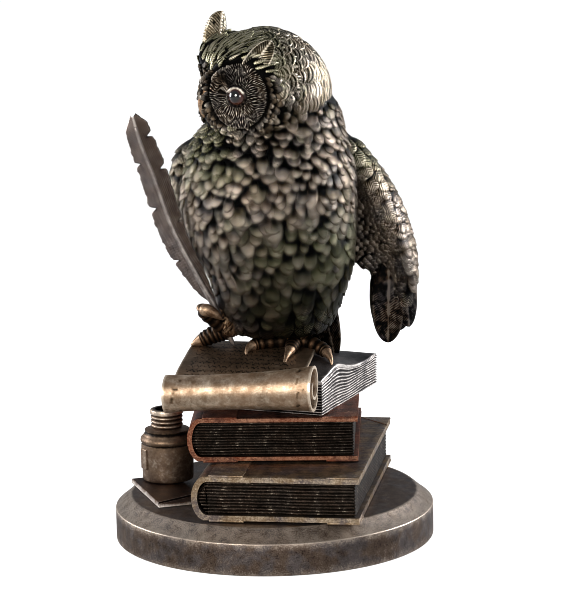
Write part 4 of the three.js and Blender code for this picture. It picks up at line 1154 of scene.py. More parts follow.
def make_quill():
    """The long pen: a bare shaft, and a vane of fine barbs with a few splits."""
    across = unit([0.9, -0.1, 0.42])

    def section(u, v):
        along = 0.18 + 0.82 * v
        line = QUILL_LINE(along)
        front = u < 0.5
        a = np.where(front, -1 + 4 * u, 3 - 4 * u)
        reach = np.where(a < 0, line[:, 3], line[:, 4])
        notch = sum(bump(v - at, 0.008) * np.where(a * sign > 0, 1, 0) * smooth(np.abs(a), 0.35, 1)
                    for at, sign in ((0.33, -1), (0.52, 1), (0.61, -1), (0.74, 1), (0.8, -1), (0.9, 1)))
        ragged = 0.06 * wander(v * 140, v * 61) * smooth(np.abs(a), 0.6, 1)
        barb = 0.5 + 0.5 * np.cos(2 * math.pi * (v * 104 - np.abs(a) * reach * 0.75) / 1.15)
        return line, front, a, reach * (1 - 0.42 * notch + ragged), barb, notch

    def place(u, v):
        line, front, a, reach, barb, notch = section(u, v)
        vane = np.sqrt(np.maximum(1 - a**2, 0))
        face = np.where(front, -1, 1)
        up = face * (0.62 * vane + 0.16 * (barb - 0.5) * smooth(vane, 0, 0.4))
        centre = line[:, :3] + across * (a * reach)[:, None]
        centre[:, 2] += 1.4 * a**2
        centre[:, 1] += up * 0.9
        centre[:, 2] += up * -0.3
        return centre

    def carving(u, v):
        line, front, a, reach, barb, notch = section(u, v)
        shaft = bump(a * reach, 0.6)
        relief = 0.3 + 0.42 * barb + 0.3 * smooth(np.abs(a), 0.88, 1) + 0.7 * shaft - 0.5 * notch
        return carve(np.clip(relief, 0, 1), np.where(a > 0.08, 0.75, 0), 1, 0.5)

    vane = grid_form("quill_vane", 60, 260, place, carving, tube=True)
    keys = []
    for along in np.linspace(0, 0.97, 14):
        x, y, z = QUILL_LINE(np.array([along]))[0, :3]
        nib = 0.45 + 1.1 * float(smooth(along, 0, 0.08))
        share = float(smooth(along, 0.15, 1))
        keys.append([x, y - 0.2, z, nib * (1 - share) + 0.8 * share])
    shaft = tube_form("quill_shaft", keys, 16, 70, carving=lambda u, v: carve(0.75 + 0 * u))
    return join("quill_pen", [vane, shaft])


# Books, manuscript and parchment

LOWER_BOOK = {"width": 77, "depth": 118, "height": 21.3, "board": 2.8, "bulge": 7.5, "turn": -9.1,
              "place": (9.6, -3.2), "bottom": 21.3, "leaves": 11}
UPPER_BOOK = {"width": 78.5, "depth": 97, "height": 20.7, "board": 2.2, "bulge": 6.5, "turn": -2.5,
              "place": (1.8, 12.4), "bottom": 43.5, "leaves": 13}


def in_book(book, points):
    """Points from a book's own axes to the frame's."""
    turn = math.radians(book["turn"])
    x, y, z = np.asarray(points, float).T
    return np.stack([
        book["place"][0] + x * math.cos(turn) - y * math.sin(turn),
        book["place"][1] + x * math.sin(turn) + y * math.cos(turn),
        book["bottom"] + z,
    ], -1)


def make_cover(name, book, pitted):
    """Boards and a round spine, with worn rims."""
    right, half = book["width"] / 2, book["depth"] / 2
    spine, middle, board = book["bulge"] - right, book["height"] / 2, book["board"]
    angle = np.linspace(math.pi / 2, -math.pi / 2, 25)
    outer = np.stack([spine - book["bulge"] * np.cos(angle), middle + middle * np.sin(angle)], -1)
    inner = np.stack([spine - (book["bulge"] - board) * np.cos(angle),
                      middle + (middle - board) * np.sin(angle)], -1)[::-1]
    run = np.linspace(0, 1, 40)[:, None]
    hidden_run = np.linspace(0, 1, 20)[:, None]
    upper, lower = [right, book["height"]], [right, 0]
    profile = np.concatenate([
        np.array(upper) + run[:-1] * (outer[0] - upper), outer, outer[-1] + run[1:] * (np.array(lower) - outer[-1]),
        [[right, board * 0.5]], np.array([right, board]) + hidden_run * (inner[0] - [right, board]), inner[1:],
        inner[-1] + hidden_run[1:] * (np.array([right, book["height"] - board]) - inner[-1]),
        [[right, book["height"] - board * 0.5]],
    ])
    count = len(profile)
    rows = 100

    def shape(u, v):
        ring = profile[np.rint(u * count).astype(int) % count]
        y = half * (2 * v - 1)
        x, z = ring.T
        outside = np.minimum(np.minimum(right - x, half - np.abs(y)), 6)
        return x, y, z, outside

    def place(u, v):
        x, y, z, outside = shape(u, v)
        pits = 0.12 * wander(x * 1.9 + y, y * 2.3 + z * 3) * pitted
        rounded = 0.45 * (1 - smooth(np.abs(half - np.abs(y)), 0, 0.9))
        z = z + np.where(z > middle, -1, 1) * rounded * np.where((z < 0.1) | (z > book["height"] - 0.1), 1, 0)
        return in_book(book, np.stack([x + 0.4 * pits, y, z + pits * 0.5], -1))

    def carving(u, v):
        x, y, z, outside = shape(u, v)
        rim = 1 - smooth(half - np.abs(y), 0.2, 1.4)
        edge = 1 - smooth(right - x, 0.2, 1.6)
        end = np.abs(half - np.abs(y)) < 0.01
        groove = bump(np.abs(x - spine - 2.5), 0.7) * np.where((z < 0.1) | (z > book["height"] - 0.1), 1, 0)
        relief = 0.42 + 0.2 * np.maximum(rim, edge) + 0.12 * wander(x * 0.8 + z, y * 1.1) + 0.1 * end - 0.45 * groove
        return carve(np.clip(relief, 0, 1), 0, 1, 0.5)

    return grid_form(name, count, rows, place, carving, tube=True, sharp=40)


def make_leaves(name, book):
    """The closed pages, as broken lines of leaf edges."""
    right, half, board = book["width"] / 2, book["depth"] / 2, book["board"]
    spine = book["bulge"] - right
    low, high = board - 0.4, book["height"] - board + 0.4
    columns, rows = 400, book["leaves"] * 6

    def shape(u, v):
        z = low + (high - low) * v
        swell = np.sin(math.pi * v)
        left = spine - (book["bulge"] - board + 0.4) * swell
        edge = (u * 4) % 4
        side = np.floor(edge).astype(int)
        t = edge - side
        level = v * book["leaves"] + 0.14 * wander(u * 45, u * 17 + v * 5)
        groove = bump((level % 1) - 0.5, 0.16)
        chipped = smooth(wander(u * 260 + np.floor(level) * 2.1, u * 127), 0.1, 0.9)
        ridge = (1 - groove) * (0.62 + 0.38 * chipped)
        inset = 1.9 + 0.6 * groove + 0.15 * wander(u * 61, v * 19)
        x0, x1, y0, y1 = left, right - inset, -half + inset, half - inset
        x = np.select([side == 0, side == 1, side == 2], [x0 + (x1 - x0) * t, x1, x1 + (x0 - x1) * t], x0)
        y = np.select([side == 0, side == 1, side == 2], [y0, y0 + (y1 - y0) * t, y1], y1 + (y0 - y1) * t)
        return x, y, z, ridge, swell

    def place(u, v):
        x, y, z, ridge, swell = shape(u, v)
        return in_book(book, np.stack([x, y, z], -1))

    def carving(u, v):
        x, y, z, ridge, swell = shape(u, v)
        joint = smooth(v, 0.0, 0.07) * (1 - smooth(v, 0.94, 1))
        return carve(np.clip((0.02 + 0.66 * ridge) * joint, 0, 1), 0, 1, 0.5)

    return grid_form(name, columns, rows, place, carving, tube=True)


def make_corners(name, book):
    """Thin corner plates and the joint strips along the spine, just proud of the boards."""
    right, half = book["width"] / 2, book["depth"] / 2
    spine = book["bulge"] - right
    forms = []
    for z0, z1 in ((book["height"] - 0.6, book["height"] + 0.3), (-0.3, 0.6)):
        for sy in (-1, 1):
            reach = 15
            corners = np.array([[right + 0.25, sy * (half + 0.25)], [right + 0.25 - reach, sy * (half + 0.25)],
                                [right + 0.25, sy * (half + 0.25 - reach)]])
            forms.append(plate("corner", [in_book(book, [[x, y, z0] for x, y in corners]),
                                          in_book(book, [[x, y, z1] for x, y in corners])]))
        corners = [[spine + 0.6, -half - 0.25], [spine + 16.6, -half - 0.25], [spine + 16.6, half + 0.25],
                   [spine + 0.6, half + 0.25]]
        forms.append(plate("strip", [in_book(book, [[x, y, z0] for x, y in corners]),
                                     in_book(book, [[x, y, z1] for x, y in corners])]))
    return join(name, forms)


def plate(name, rings):
    """A flat plate between two rings of corners."""
    count = len(rings[0])
    deselect()
    bpy.ops.mesh.primitive_cylinder_add(vertices=count, radius=1, depth=1)
    form = bpy.context.object
    form.name = form.data.name = name
    points = points_of(form.data)
    angle = np.arctan2(points[:, 1], points[:, 0])
    order = np.rint((angle / (2 * math.pi)) * count - 0.25 * count).astype(int) % count
    high = points[:, 2] > 0
    placed = np.where(high[:, None], np.array(rings[1])[order], np.array(rings[0])[order])
    set_points(form.data, placed)
    bpy.ops.object.mode_set(mode="EDIT")
    bpy.ops.mesh.select_all(action="SELECT")
    bpy.ops.mesh.normals_make_consistent(inside=False)
    bpy.ops.object.mode_set(mode="OBJECT")
    apply_modifier(form, "BEVEL", width=0.25 * MM, segments=2, limit_method="ANGLE")
    set_carving(form.data, carve(np.full(len(form.data.vertices), 0.62)))
    return form


STACK_WAVE = smooth_run([[0, 80.6], [0.12, 82], [0.3, 84], [0.5, 80.6], [0.65, 78.8], [0.8, 78.4], [1, 79.2]])
STACK_TURN = math.radians(-22.4)
SHEET_TURN = math.radians(-12)


def stack_point(t, w, share, inset):
    """A point of the manuscript: t along its fore-edge, w inward from it, share up through its leaves."""
    along = np.array([math.cos(STACK_TURN), math.sin(STACK_TURN), 0])
    back = np.array([-math.sin(STACK_TURN), math.cos(STACK_TURN), 0])
    corner = np.array([22.8, -36.4, 64.8])
    depthways = inset + (73 - 2 * inset) * t
    widthways = inset + (62 - 2 * inset) * w
    bulge = 4.2 * np.sin(math.pi * np.minimum(w * 1.5, 1)) * np.sin(math.pi * t)
    height = STACK_WAVE(t)[:, 0] + bulge - corner[2]
    point = corner + back * depthways[:, None] - along * widthways[:, None]
    point[:, 2] += share * height
    return point


def make_stack():
    """The buckled manuscript: wavy leaf edges under a smooth top."""
    leaves = 12

    def shape(u, v):
        edge = (u * 4) % 4
        side = np.floor(edge).astype(int)
        s = edge - side
        t = np.select([side == 0, side == 1, side == 2], [s, 1 + 0 * s, 1 - s], 0 * s)
        w = np.select([side == 0, side == 1, side == 2], [0 * s, s, 1 + 0 * s], 1 - s)
        wave = 0.9 * bump(t - 0.42, 0.2) - 0.7 * bump(t - 0.78, 0.16) + 0.22 * wander(u * 36, u * 15)
        level = v * leaves + wave * np.sin(math.pi * v)
        line = 0.5 + 0.5 * np.cos(2 * math.pi * level)
        ridge = line**0.9 * (0.72 + 0.28 * smooth(wander(u * 90 + np.floor(level) * 1.7, u * 40), -0.6, 0.3))
        return t, w, v, ridge

    def place(u, v):
        t, w, v, ridge = shape(u, v)
        closing = v > 1 - 1e-6
        share = np.where(closing, 0.7, v * 0.985)
        return stack_point(t, w, share, np.where(closing, 2.5, 0.1 + 0.75 * (1 - ridge)))

    edges = grid_form("stack_edges", 320, leaves * 6, place,
                      lambda u, v: carve(np.clip(0.08 + 0.95 * shape(u, v)[3], 0, 1)), tube=True)

    def top(u, v):
        rim = np.minimum(np.minimum(u, 1 - u), np.minimum(v, 1 - v))
        closing = rim < 1e-6
        point = stack_point(u, v, 1 + 0 * u, np.where(closing, 1.5, 0))
        point[:, 2] -= np.where(closing, 6, 0.35 * (1 - smooth(rim, 0.0, 0.03)))
        return point

    def top_carving(u, v):
        rim = np.minimum(np.minimum(u, 1 - u), np.minimum(v, 1 - v))
        shade = 0.4 * smooth(v, 0.25, 0.6) + 0.3 * bump(u - 0.85, 0.12) * bump(v, 0.3)
        edge = 0.5 * (1 - smooth(rim, 0, 0.03))
        return carve(np.clip(0.5 + edge + 0.06 * wander(u * 14, v * 17) - shade, 0, 1))

    return join("manuscript", [edges, grid_form("stack_top", 90, 90, top, top_carving, tube=True)])


def sheet_section():
    """The sheet's middle line in section, [back, up, rolled], from the inner end of the roll to the back edge."""
    roll = [[-235, 0.36], [-200, 0.38], [-150, 0.38], [-105, 0.42], [-65, 0.55], [-30, 0.75], [0, 0.9], [30, 0.97],
            [60, 1], [90, 1], [120, 1], [150, 1], [180, 1], [210, 1], [240, 1], [270, 1], [295, 1.02]]
    hump = [[10.8, 76], [13.2, 79.5], [16.5, 82.2], [22, 83.8], [30, 85.6], [38, 87.2], [46, 88.7], [54, 89.5],
            [61, 89.6], [68, 88.2], [75, 85.6], [80, 83]]
    rolled = [[s * math.cos(math.radians(a)), s * math.sin(math.radians(a)), 1] for a, s in roll]
    return np.array(rolled + [[b, u, 0] for b, u in hump])


def make_sheet():
    """The parchment: a roll in front and a humped sheet behind it, with rows of faint strokes."""
    section = sheet_section()
    along = np.array([math.cos(SHEET_TURN), math.sin(SHEET_TURN), 0])
    back = np.array([-math.sin(SHEET_TURN), math.cos(SHEET_TURN), 0])
    steps, columns, thickness = 230, 150, 1.3
    turn = int(steps * section[:, 2].sum() / len(section))
    outside = [i for i in range(steps) if i <= turn or (steps - 1 - i) % 3 == 0]
    inside = [i for i in range(steps) if i >= turn or i % 3 == 0]
    kept = outside + inside[::-1]
    side = np.where(np.arange(len(kept)) < len(outside), 0.5, -0.5)[:, None]
    table = np.zeros((columns + 1, len(kept), 3))
    lengths = np.zeros((columns + 1, len(kept)))
    roll_length = np.zeros(columns + 1)
    for k in range(columns + 1):
        across = k / columns
        radius = 7.1 + 5.6 * (across - 0.42) ** 2 + 0.8 * across
        is_roll = section[:, 2] > 0.5
        ahead = section[:, 0]
        narrow = np.where(is_roll, 0, 9 * smooth(ahead, 9, 20))
        waver = np.where(is_roll, 0, 2.5 * smooth(ahead, 55, 80))
        wide = waver + (68.7 - narrow - waver) * across
        slope = (1 - smooth(ahead, 9, 22)) * (across - 0.5) * 3
        height = np.where(is_roll, 78.4 + 4.3 * across + section[:, 1] * radius, section[:, 1] + slope)
        reach = np.where(is_roll, ahead * radius, ahead)
        keys = np.array([-48.2, -45, 0]) + along * wide[:, None] + back * reach[:, None]
        keys[:, 2] = height
        run = smooth_run(np.column_stack([np.arange(len(keys)), keys]))
        line = run(np.linspace(0, len(keys) - 1, steps))
        tangent = np.gradient(line, axis=0)
        normal = unit(np.cross(tangent, along))
        travelled = np.concatenate([[0], np.cumsum(np.linalg.norm(np.diff(line, axis=0), axis=1))])
        table[k] = line[kept] + normal[kept] * thickness * side
        lengths[k] = travelled[kept]
        roll_length[k] = travelled[turn]

    def cell(u, v):
        return np.rint(v * columns).astype(int), np.rint(u * len(kept)).astype(int) % len(kept)

    def strokes(u, v):
        row, ring = cell(u, v)
        s = lengths[row, ring] - roll_length[row]
        t = v * 68.7
        line = np.floor(s / 4.6)
        offset = s / 4.6 - line - 0.5
        hand = 0.17 * np.sin(t * 2.1 + line * 2.7) + 0.14 * np.sin(t * 3.3 + line * 1.3)
        word = smooth(wander(t * 0.55 + line * 5.1, t * 0.23 + line), -0.65, -0.5)
        inside = smooth(v, 0.06, 0.08) * (1 - smooth(v, 0.88, 0.9)) * (s > 1.5)
        return (1 - smooth(np.abs(offset - hand), 0.05, 0.13)) * word * inside

    def place(u, v):
        row, ring = cell(u, v)
        return table[row, ring]

    def carving(u, v):
        row, ring = cell(u, v)
        s = lengths[row, ring]
        edge = np.maximum(1 - smooth(np.minimum(v, 1 - v), 0, 0.02), 1 - smooth(s, 0, 1.5))
        edge = np.maximum(edge, 1 - smooth(lengths[row].max(axis=1) - s, 0, 1.5))
        laid = smooth(s - roll_length[row], -2, 3)
        spots = smooth(wander(v * 61 + s * 0.4, s * 0.9, v * 33), 0.3, 0.6) * (bump(v - 0.1, 0.1) + bump(v - 0.95, 0.1))
        # The laid part is a little darker than the roll; further back, under the owl, it is darkened more as painted
        # shade.
        relief = 0.68 - 0.12 * laid + 0.08 * wander(v * 6, s * 0.2) + 0.5 * edge - 0.4 * spots * (1 - laid)
        return carve(np.clip(relief - 0.5 * strokes(u, v), 0, 1), 0, 1 - 0.55 * smooth(s - roll_length[row], 8, 34))

    return grid_form("parchment", len(kept), columns, place, carving, tube=True, sharp=50)


# Inkwell, envelope and plinth

def make_inkwell():
    """The bottle: hollow, with a groove under its shoulder and three beads round its neck."""
    floor, radius, neck, wall, height = 23.2, 12.8, 7.6, 2.2, 57.3 - 23.2
    outside = [[0, 0], [radius - 1.6, 0], [radius - 1.0, 0.3], [radius - 0.7, 0.9]]
    outside += [[radius - 0.7 + 0.5 * k / 8, 0.9 + 16.6 * k / 8] for k in range(1, 8)]
    outside += [[radius - 0.35, 17.3], [radius - 0.9, 17.9], [radius - 0.35, 18.4], [radius, 19.2],
                [radius - 0.1, 20], [radius - 0.4, 20.7], [radius - 1.1, 21.3], [radius - 1.6, 22],
                [radius - 2.4, 23.2], [neck + 3, 24.3], [neck + 1.6, 24.8], [neck - 0.2, 25.1]]
    for k in range(25):
        z = 25.4 + 6 * k / 24
        outside.append([neck - 0.7 + 0.75 * abs(math.sin(math.pi * (z - 25.4) / 2)), z])
    outside += [[neck + 0.2, 32], [neck + 0.2, height - 0.6], [neck, height - 0.2], [neck - 0.5, height]]
    inside = [[neck - wall, height], [neck - wall - 0.1, height - 0.6], [neck - wall, 24.5],
              [radius - wall - 1.6, 20.5], [radius - wall, 17.5], [radius - wall - 0.5, wall + 0.6],
              [radius - wall - 1.4, wall], [0, wall]]
    profile = [[r, z + floor] for r, z in outside + inside]
    bottle = turned_form("bottle", profile, (-50.6, 16), 96)
    points = points_of(bottle.data)
    radial = np.hypot(points[:, 0] + 50.6, points[:, 1] - 16)
    z = points[:, 2] - floor
    inner = (radial < neck - wall + 0.3) | ((z < 24) & (radial < radius - wall + 0.2) & (z > 0.5))
    bead = 0.5 - 0.5 * np.cos(math.pi * (z - 25.4))
    relief = np.where(z > 25.2, 0.3 + 0.5 * bead, 0.55 + 0.06 * np.sin(z * 9))
    relief = np.where(np.abs(z - 17.9) < 0.3, 0.15, relief)
    relief = np.where(z > 31.5, 0.8, relief)
    relief = np.where(inner, 0.05, relief)
    set_carving(bottle.data, carve(np.clip(relief, 0, 1)))
    angle = math.radians(28)
    corner = lambda r, w, z: [-50.6 - r * math.cos(angle) + w * math.sin(angle),
                              16 - r * math.sin(angle) - w * math.cos(angle), floor + z]
    rings = [[corner(r, w, z) for w, z in ((-2.75, 6.2), (2.75, 6.2), (2.75, 15.8), (-2.75, 15.8))]
             for r in (radius - 1.1, radius + 0.1)]
    return join("ink_bottle", [bottle, plate("label", rings)])


def make_envelope():
    """The envelope under the bottle, with its flap's crease."""
    turn = math.radians(17.5)
    along = np.array([math.cos(turn), math.sin(turn), 0])
    back = np.array([-math.sin(turn), math.cos(turn), 0])
    tip = np.array([-53.5, -30, 21.0])
    width, length = 22, 50

    def height(wide, deep):
        crease = np.abs(deep - (2 + (width - wide) * 0.0 + wide * 0.42))
        flap = smooth(deep - wide * 0.42, 1.6, 2.4)
        return 1.35 + 0.5 * flap, crease

    def place(u, v):
        wide, deep = width * u, length * v
        rim = np.minimum(np.minimum(u * width, (1 - u) * width), np.minimum(v * length, (1 - v) * length))
        up = np.where(rim < 1e-4, 0, height(wide, deep)[0])
        pull = np.where((rim > 1e-4) & (rim < 0.6), 0, 0)
        return tip + along * (wide + pull)[:, None] + back * deep[:, None] + np.array([0, 0, 1]) * up[:, None]

    def carving(u, v):
        wide, deep = width * u, length * v
        rim = np.minimum(np.minimum(wide, width - wide), np.minimum(deep, length - deep))
        flap, crease = height(wide, deep)
        relief = 0.42 + 0.6 * (1 - smooth(rim, 0.1, 0.7)) - 0.35 * bump(crease, 0.5) + 0.4 * bump(crease - 0.9, 0.35)
        return carve(np.clip(relief + 0.08 * wander(wide, deep), 0, 1))

    return grid_form("letter", 44, 100, place, carving, tube=True, sharp=40)


def make_plinth():
    """The round plinth with its chamfered rim."""
    edge = 0.7
    profile = [[0, 0], [PLINTH_RADIUS - edge, 0]]
    profile += [[PLINTH_RADIUS - edge + edge * math.sin(a), edge - edge * math.cos(a)]
                for a in np.linspace(0.3, math.pi / 2, 4)]
    profile += [[PLINTH_RADIUS, z] for z in (4, 7.6, 11.4)]
    profile += [[PLINTH_RADIUS - edge + edge * math.cos(a), PLINTH_WALL_HEIGHT - edge + edge * math.sin(a)]
                for a in np.linspace(0, math.pi / 2, 4)]
    profile += [[PLINTH_FLAT_RADIUS + 0.5, PLINTH_HEIGHT - 0.35], [PLINTH_FLAT_RADIUS, PLINTH_HEIGHT],
                [PLINTH_FLAT_RADIUS - 1.2, PLINTH_HEIGHT], [30, PLINTH_HEIGHT], [0, PLINTH_HEIGHT]]
    form = turned_form("base", profile, (0, 0), 160)
    points = points_of(form.data)
    radial, z = np.hypot(points[:, 0], points[:, 1]), points[:, 2]
    # Lighter lines along the rim's edges and the foot's edge: partly rubbed edges, partly painted highlight.
    line = np.maximum(bump(z - PLINTH_WALL_HEIGHT + 0.3, 0.5), bump(np.hypot(radial - 67.9, z - 20.6), 0.5))
    line = np.maximum(line, 0.7 * bump(z - 0.4, 0.5) * (radial > 70))
    set_carving(form.data, carve(np.clip(0.5 + 0.5 * line, 0, 1)))
    return form


# Stage

def make_stage():
    """A pale floor, soft studio light and the camera."""
    scene = bpy.context.scene
    scene.view_settings.view_transform = "Standard"
    scene.view_settings.look = "None"
    scene.cycles.filter_width = 0.9
    world = bpy.data.worlds.new("Studio")
    scene.world = world
    world.use_nodes = True
    tree = world.node_tree
    tree.nodes.clear()
    path = tree.nodes.new("ShaderNodeLightPath")
    seen = tree.nodes.new("ShaderNodeBackground")
    seen.inputs["Color"].default_value = (1, 1, 1, 1)
    lit = tree.nodes.new("ShaderNodeBackground")
    lit.inputs["Color"].default_value = (0.8, 0.84, 0.9, 1)
    lit.inputs["Strength"].default_value = 0.3
    blend = tree.nodes.new("ShaderNodeMixShader")
    output = tree.nodes.new("ShaderNodeOutputWorld")
    tree.links.new(path.outputs["Is Camera Ray"], blend.inputs[0])
    tree.links.new(lit.outputs[0], blend.inputs[1])
    tree.links.new(seen.outputs[0], blend.inputs[2])
    tree.links.new(blend.outputs[0], output.inputs[0])

    lights = (
        ("Key", (-0.65, -1.0, 0.5), 0.5, 11.0, (1, 0.96, 0.9)),
        ("Front", (0.35, -1.2, 0.3), 0.5, 3.5, (1, 0.98, 0.96)),
        ("Right rim", (0.85, 0.25, 0.4), 0.45, 12.0, (0.97, 0.98, 1)),
        ("Left rim", (-0.85, 0.3, 0.3), 0.45, 7.0, (0.97, 0.98, 1)),
    )
    for name, place, size, power, color in lights:
        data = bpy.data.lights.new(name, "AREA")
        data.shape = "DISK"
        data.size = size
        data.energy = power
        data.color = color
        lamp = bpy.data.objects.new(name, data)
        scene.collection.objects.link(lamp)
        lamp.location = place
        aim = Vector((0, 0, 0.12)) - lamp.location
        lamp.rotation_euler = aim.to_track_quat("-Z", "Y").to_euler()

    deselect()
    bpy.ops.mesh.primitive_plane_add(size=6, location=(0, 0, -0.0002))
    floor = bpy.context.object
    floor.name = "floor"
    white = bpy.data.materials.new("Floor white")
    white.use_nodes = True
    tree = white.node_tree
    shader = tree.nodes["Principled BSDF"]
    shader.inputs["Base Color"].default_value = (0.3, 0.3, 0.3, 1)
    shader.inputs["Roughness"].default_value = 0.9
    shader.inputs["Emission Color"].default_value = (1, 1, 1, 1)
    path = tree.nodes.new("ShaderNodeLightPath")
    glow = tree.nodes.new("ShaderNodeMapRange")
    glow.inputs["To Min"].default_value = 0.08
    glow.inputs["To Max"].default_value = 0.93
    tree.links.new(path.outputs["Is Camera Ray"], glow.inputs["Value"])
    tree.links.new(glow.outputs["Result"], shader.inputs["Emission Strength"])
    floor.data.materials.append(white)
    floor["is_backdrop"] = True

    data = bpy.data.cameras.new("Camera")
    data.lens = 183.24
    data.sensor_width = 36
    data.clip_start, data.clip_end = 0.1, 10
    camera = bpy.data.objects.new("Camera", data)
    scene.collection.objects.link(camera)
    turn = Matrix.Rotation(math.radians(78.9), 4, "X") @ Matrix.Rotation(math.radians(-1.12), 4, "Z")
    camera.matrix_world = Matrix.Translation(Vector((5.2, -1373.8, 384.1)) * MM) @ turn
    scene.camera = camera


# Settings

def tint(label, value):
    """A colour property."""
    return bpy.props.FloatVectorProperty(name=label, description=f"{label} colour", default=value, size=3, min=0,
                                         max=1, subtype="COLOR")


def length(label, what, value):
    """A length property, with its default given in millimetres."""
    return bpy.props.FloatProperty(name=label, description=what, default=value * MM, min=0.1 * MM, unit="LENGTH")


class OwlSizes(bpy.types.PropertyGroup):
    """Sizes of the carving that is laid over the frame"""

    breast_width: length("Breast feather", "Width of a feather on the lower breast", 6.1)
    breast_length: length("Breast feather length", "Length of a feather on the lower breast", 10.2)
    streak_width: length("Head streak", "Width of a streak on top of the head", 2.5)
    nape_width: length("Nape feather", "Width of a crescent on the nape", 8.4)
    disc_reach: length("Face disc", "How far the rays run out from an eye", 15.8)
    thigh_width: length("Thigh strand", "Width of a strand on the thighs", 1.7)
    disc_rays: bpy.props.IntProperty(name="Rays", description="Rays round each eye", default=54, min=8, max=80)


class OwlColors(bpy.types.PropertyGroup):
    """Colours of every finish, from its recesses to its worn ridges"""

    __annotations__ = {
        "eye_ring": tint("Eye ring", (0.06, 0.014, 0.006)),
        **{f"{key}_{part}": tint(f"{paint['name']} {part}", value)
           for key, paint in FINISHES.items() for part, value in paint["colors"].items()},
    }


# Operators

class OWL_OT_materials(bpy.types.Operator):
    """Makes the painted finishes"""

    bl_idname = "owl.materials"
    bl_label = "Materials"

    def execute(self, context):
        groups = {"paint": make_paint_group(), "barbs": make_barb_group()}
        for key in FINISHES:
            make_material(key, groups)
        make_eye_material()
        return {"FINISHED"}


class OWL_OT_cores(bpy.types.Operator):
    """Adds the bare body, head and wings that the feathers are laid on"""

    bl_idname = "owl.cores"
    bl_label = "Bare body"

    def execute(self, context):
        cores = make_body_skins()
        skins.update({name: Skin(form) for name, form in cores.items()})
        return finish_piece(join("owl_core", list(cores.values())), "Feather bronze", "owl", "owl")


class OWL_OT_breast(bpy.types.Operator):
    """Adds the feathers of the breast and back"""

    bl_idname = "owl.breast"
    bl_label = "Breast feathers"

    def execute(self, context):
        form = make_torso_feathers(skins["torso"], feather_kinds())
        return finish_piece(form, "Feather bronze", "owl", "owl")


class OWL_OT_head(bpy.types.Operator):
    """Adds the feathers of the head, nape and cheeks"""

    bl_idname = "owl.head"
    bl_label = "Head feathers"

    def execute(self, context):
        form = make_head_feathers(skins["head"], feather_kinds())
        return finish_piece(form, "Head patina", "owl", "owl")


class OWL_OT_face(bpy.types.Operator):
    """Adds the rays, ruff and lids of the face"""

    bl_idname = "owl.face"
    bl_label = "Face"

    def execute(self, context):
        skin = skins["head"]
        forms = [make_face_disc(side, skin) for side in (1, -1)]
        forms += [make_ruff(skin, feather_kinds())]
        forms += [make_eyelid(side) for side in (1, -1)]
        return finish_piece(join("face_discs", forms), "Face bronze", "owl", "owl")


class OWL_OT_beak(bpy.types.Operator):
    """Adds the hooked bill"""

    bl_idname = "owl.beak"
    bl_label = "Beak"

    def execute(self, context):
        return finish_piece(make_beak(), "Beak bronze", "owl", "owl")


class OWL_OT_ear_tufts(bpy.types.Operator):
    """Adds the two cupped ear tufts"""

    bl_idname = "owl.ear_tufts"
    bl_label = "Ear tufts"

    def execute(self, context):
        return finish_piece(make_ear_tufts(), "Head patina", "owl", "owl")


class OWL_OT_wings(bpy.types.Operator):
    """Adds the feathers of both wings"""

    bl_idname = "owl.wings"
    bl_label = "Wings"

    def execute(self, context):
        kinds = feather_kinds()
        finish_piece(make_near_wing(skins["near"], kinds), "Feather bronze", "owl", "owl")
        finish_piece(make_near_wing_primaries(), "Feather bronze", "owl", "owl")
        return finish_piece(make_far_wing(skins["far"], kinds), "Feather bronze", "owl", "owl")


class OWL_OT_tail(bpy.types.Operator):
    """Adds the tail"""

    bl_idname = "owl.tail"
    bl_label = "Tail"

    def execute(self, context):
        return finish_piece(make_tail(), "Feather bronze", "owl", "owl")


class OWL_OT_legs(bpy.types.Operator):
    """Adds the shaggy thighs, the toes and their claws"""

    bl_idname = "owl.legs"
    bl_label = "Legs and toes"

    def execute(self, context):
        finish_piece(make_legs(feather_kinds()), "Leg copper", "owl", "owl")
        return finish_piece(make_toes(), "Beak bronze", "owl", "owl")


class OWL_OT_eyes(bpy.types.Operator):
    """Adds the two glossy eyes"""

    bl_idname = "owl.eyes"
    bl_label = "Eyes"

    def execute(self, context):
        finish_piece(make_eye(1), "Eye gloss", "eye", "left_eye")
        return finish_piece(make_eye(-1), "Eye gloss", "eye", "right_eye")


class OWL_OT_quill(bpy.types.Operator):
    """Adds the long quill"""

    bl_idname = "owl.quill"
    bl_label = "Quill"

    def execute(self, context):
        return finish_piece(make_quill(), "Quill bronze", "quill", "quill")


class OWL_OT_books(bpy.types.Operator):
    """Adds both books: cover, corner plates and leaves"""

    bl_idname = "owl.books"
    bl_label = "Books"

    def execute(self, context):
        for node, book, cover, pitted in (("lower_book", LOWER_BOOK, "Book bronze", 1.0),
                                          ("upper_book", UPPER_BOOK, "Book copper", 0.5)):
            name = node.split("_")[0]
            finish_piece(make_cover(name + "_cover", book, pitted), cover, node, node)
            finish_piece(make_corners(name + "_corners", book), cover, node, node)
            finish_piece(make_leaves(name + "_leaves", book), "Page bronze", node, node)
        return {"FINISHED"}


class OWL_OT_manuscript(bpy.types.Operator):
    """Adds the buckled manuscript"""

    bl_idname = "owl.manuscript"
    bl_label = "Manuscript"

    def execute(self, context):
        return finish_piece(make_stack(), "Manuscript bronze", "page_stack", "page_stack")


class OWL_OT_parchment(bpy.types.Operator):
    """Adds the written sheet with its rolled front"""

    bl_idname = "owl.parchment"
    bl_label = "Parchment"

    def execute(self, context):
        return finish_piece(make_sheet(), "Parchment bronze", "parchment_scroll", "parchment_scroll")


class OWL_OT_inkwell(bpy.types.Operator):
    """Adds the hollow ink bottle"""

    bl_idname = "owl.inkwell"
    bl_label = "Inkwell"

    def execute(self, context):
        return finish_piece(make_inkwell(), "Bottle bronze", "inkwell", "inkwell")


class OWL_OT_envelope(bpy.types.Operator):
    """Adds the envelope under the bottle"""

    bl_idname = "owl.envelope"
    bl_label = "Envelope"

    def execute(self, context):
        return finish_piece(make_envelope(), "Envelope bronze", "envelope", "envelope")


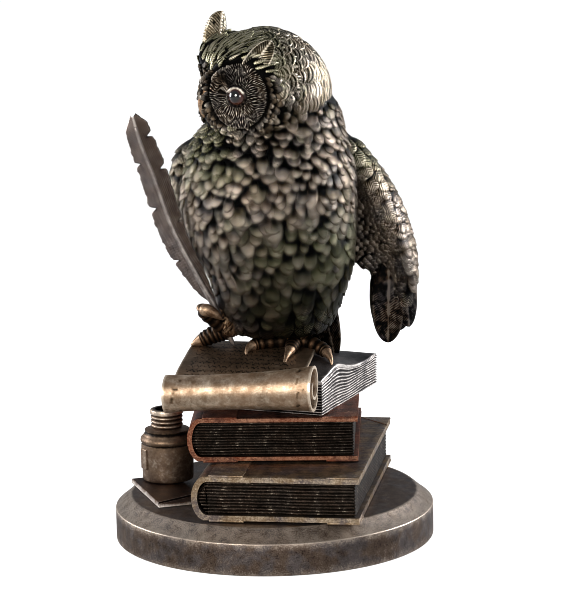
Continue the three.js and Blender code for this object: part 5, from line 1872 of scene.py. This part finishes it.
class OWL_OT_plinth(bpy.types.Operator):
    """Adds the round plinth"""

    bl_idname = "owl.plinth"
    bl_label = "Plinth"

    def execute(self, context):
        return finish_piece(make_plinth(), "Plinth bronze", "plinth", "plinth")


class OWL_OT_stage(bpy.types.Operator):
    """Adds the floor, the studio lights and the camera"""

    bl_idname = "owl.stage"
    bl_label = "Stage"

    def execute(self, context):
        make_stage()
        return {"FINISHED"}


OPERATORS = (
    OWL_OT_materials, OWL_OT_cores, OWL_OT_breast, OWL_OT_head, OWL_OT_face, OWL_OT_beak, OWL_OT_ear_tufts,
    OWL_OT_wings, OWL_OT_tail, OWL_OT_legs, OWL_OT_eyes, OWL_OT_quill, OWL_OT_books, OWL_OT_manuscript,
    OWL_OT_parchment, OWL_OT_inkwell, OWL_OT_envelope, OWL_OT_plinth, OWL_OT_stage,
)


class OWL_PT_panel(bpy.types.Panel):
    """Lists the pieces and their settings"""

    bl_idname = "OWL_PT_panel"
    bl_label = "Owl On A Manuscript"
    bl_space_type = "VIEW_3D"
    bl_region_type = "UI"
    bl_category = "Owl"

    def draw(self, context):
        for settings in (context.scene.owl_sizes, context.scene.owl_colors):
            for name in settings.__annotations__:
                self.layout.prop(settings, name)
        for operator in OPERATORS:
            self.layout.operator(operator.bl_idname)


CLASSES = (OwlSizes, OwlColors, *OPERATORS, OWL_PT_panel)


def register():
    for kind in CLASSES:
        bpy.utils.register_class(kind)
    bpy.types.Scene.owl_sizes = bpy.props.PointerProperty(type=OwlSizes)
    bpy.types.Scene.owl_colors = bpy.props.PointerProperty(type=OwlColors)


def unregister():
    del bpy.types.Scene.owl_sizes
    del bpy.types.Scene.owl_colors
    for kind in reversed(CLASSES):
        bpy.utils.unregister_class(kind)


def main():
    register()
    for operator in OPERATORS:
        group, name = operator.bl_idname.split(".")
        getattr(getattr(bpy.ops, group), name)()
    corners = {"cad": CAD_BOX, "visual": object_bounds()}
    plain = {key: [list(corner) for corner in box] for key, box in corners.items()}


if __name__ == "__main__":
    main()
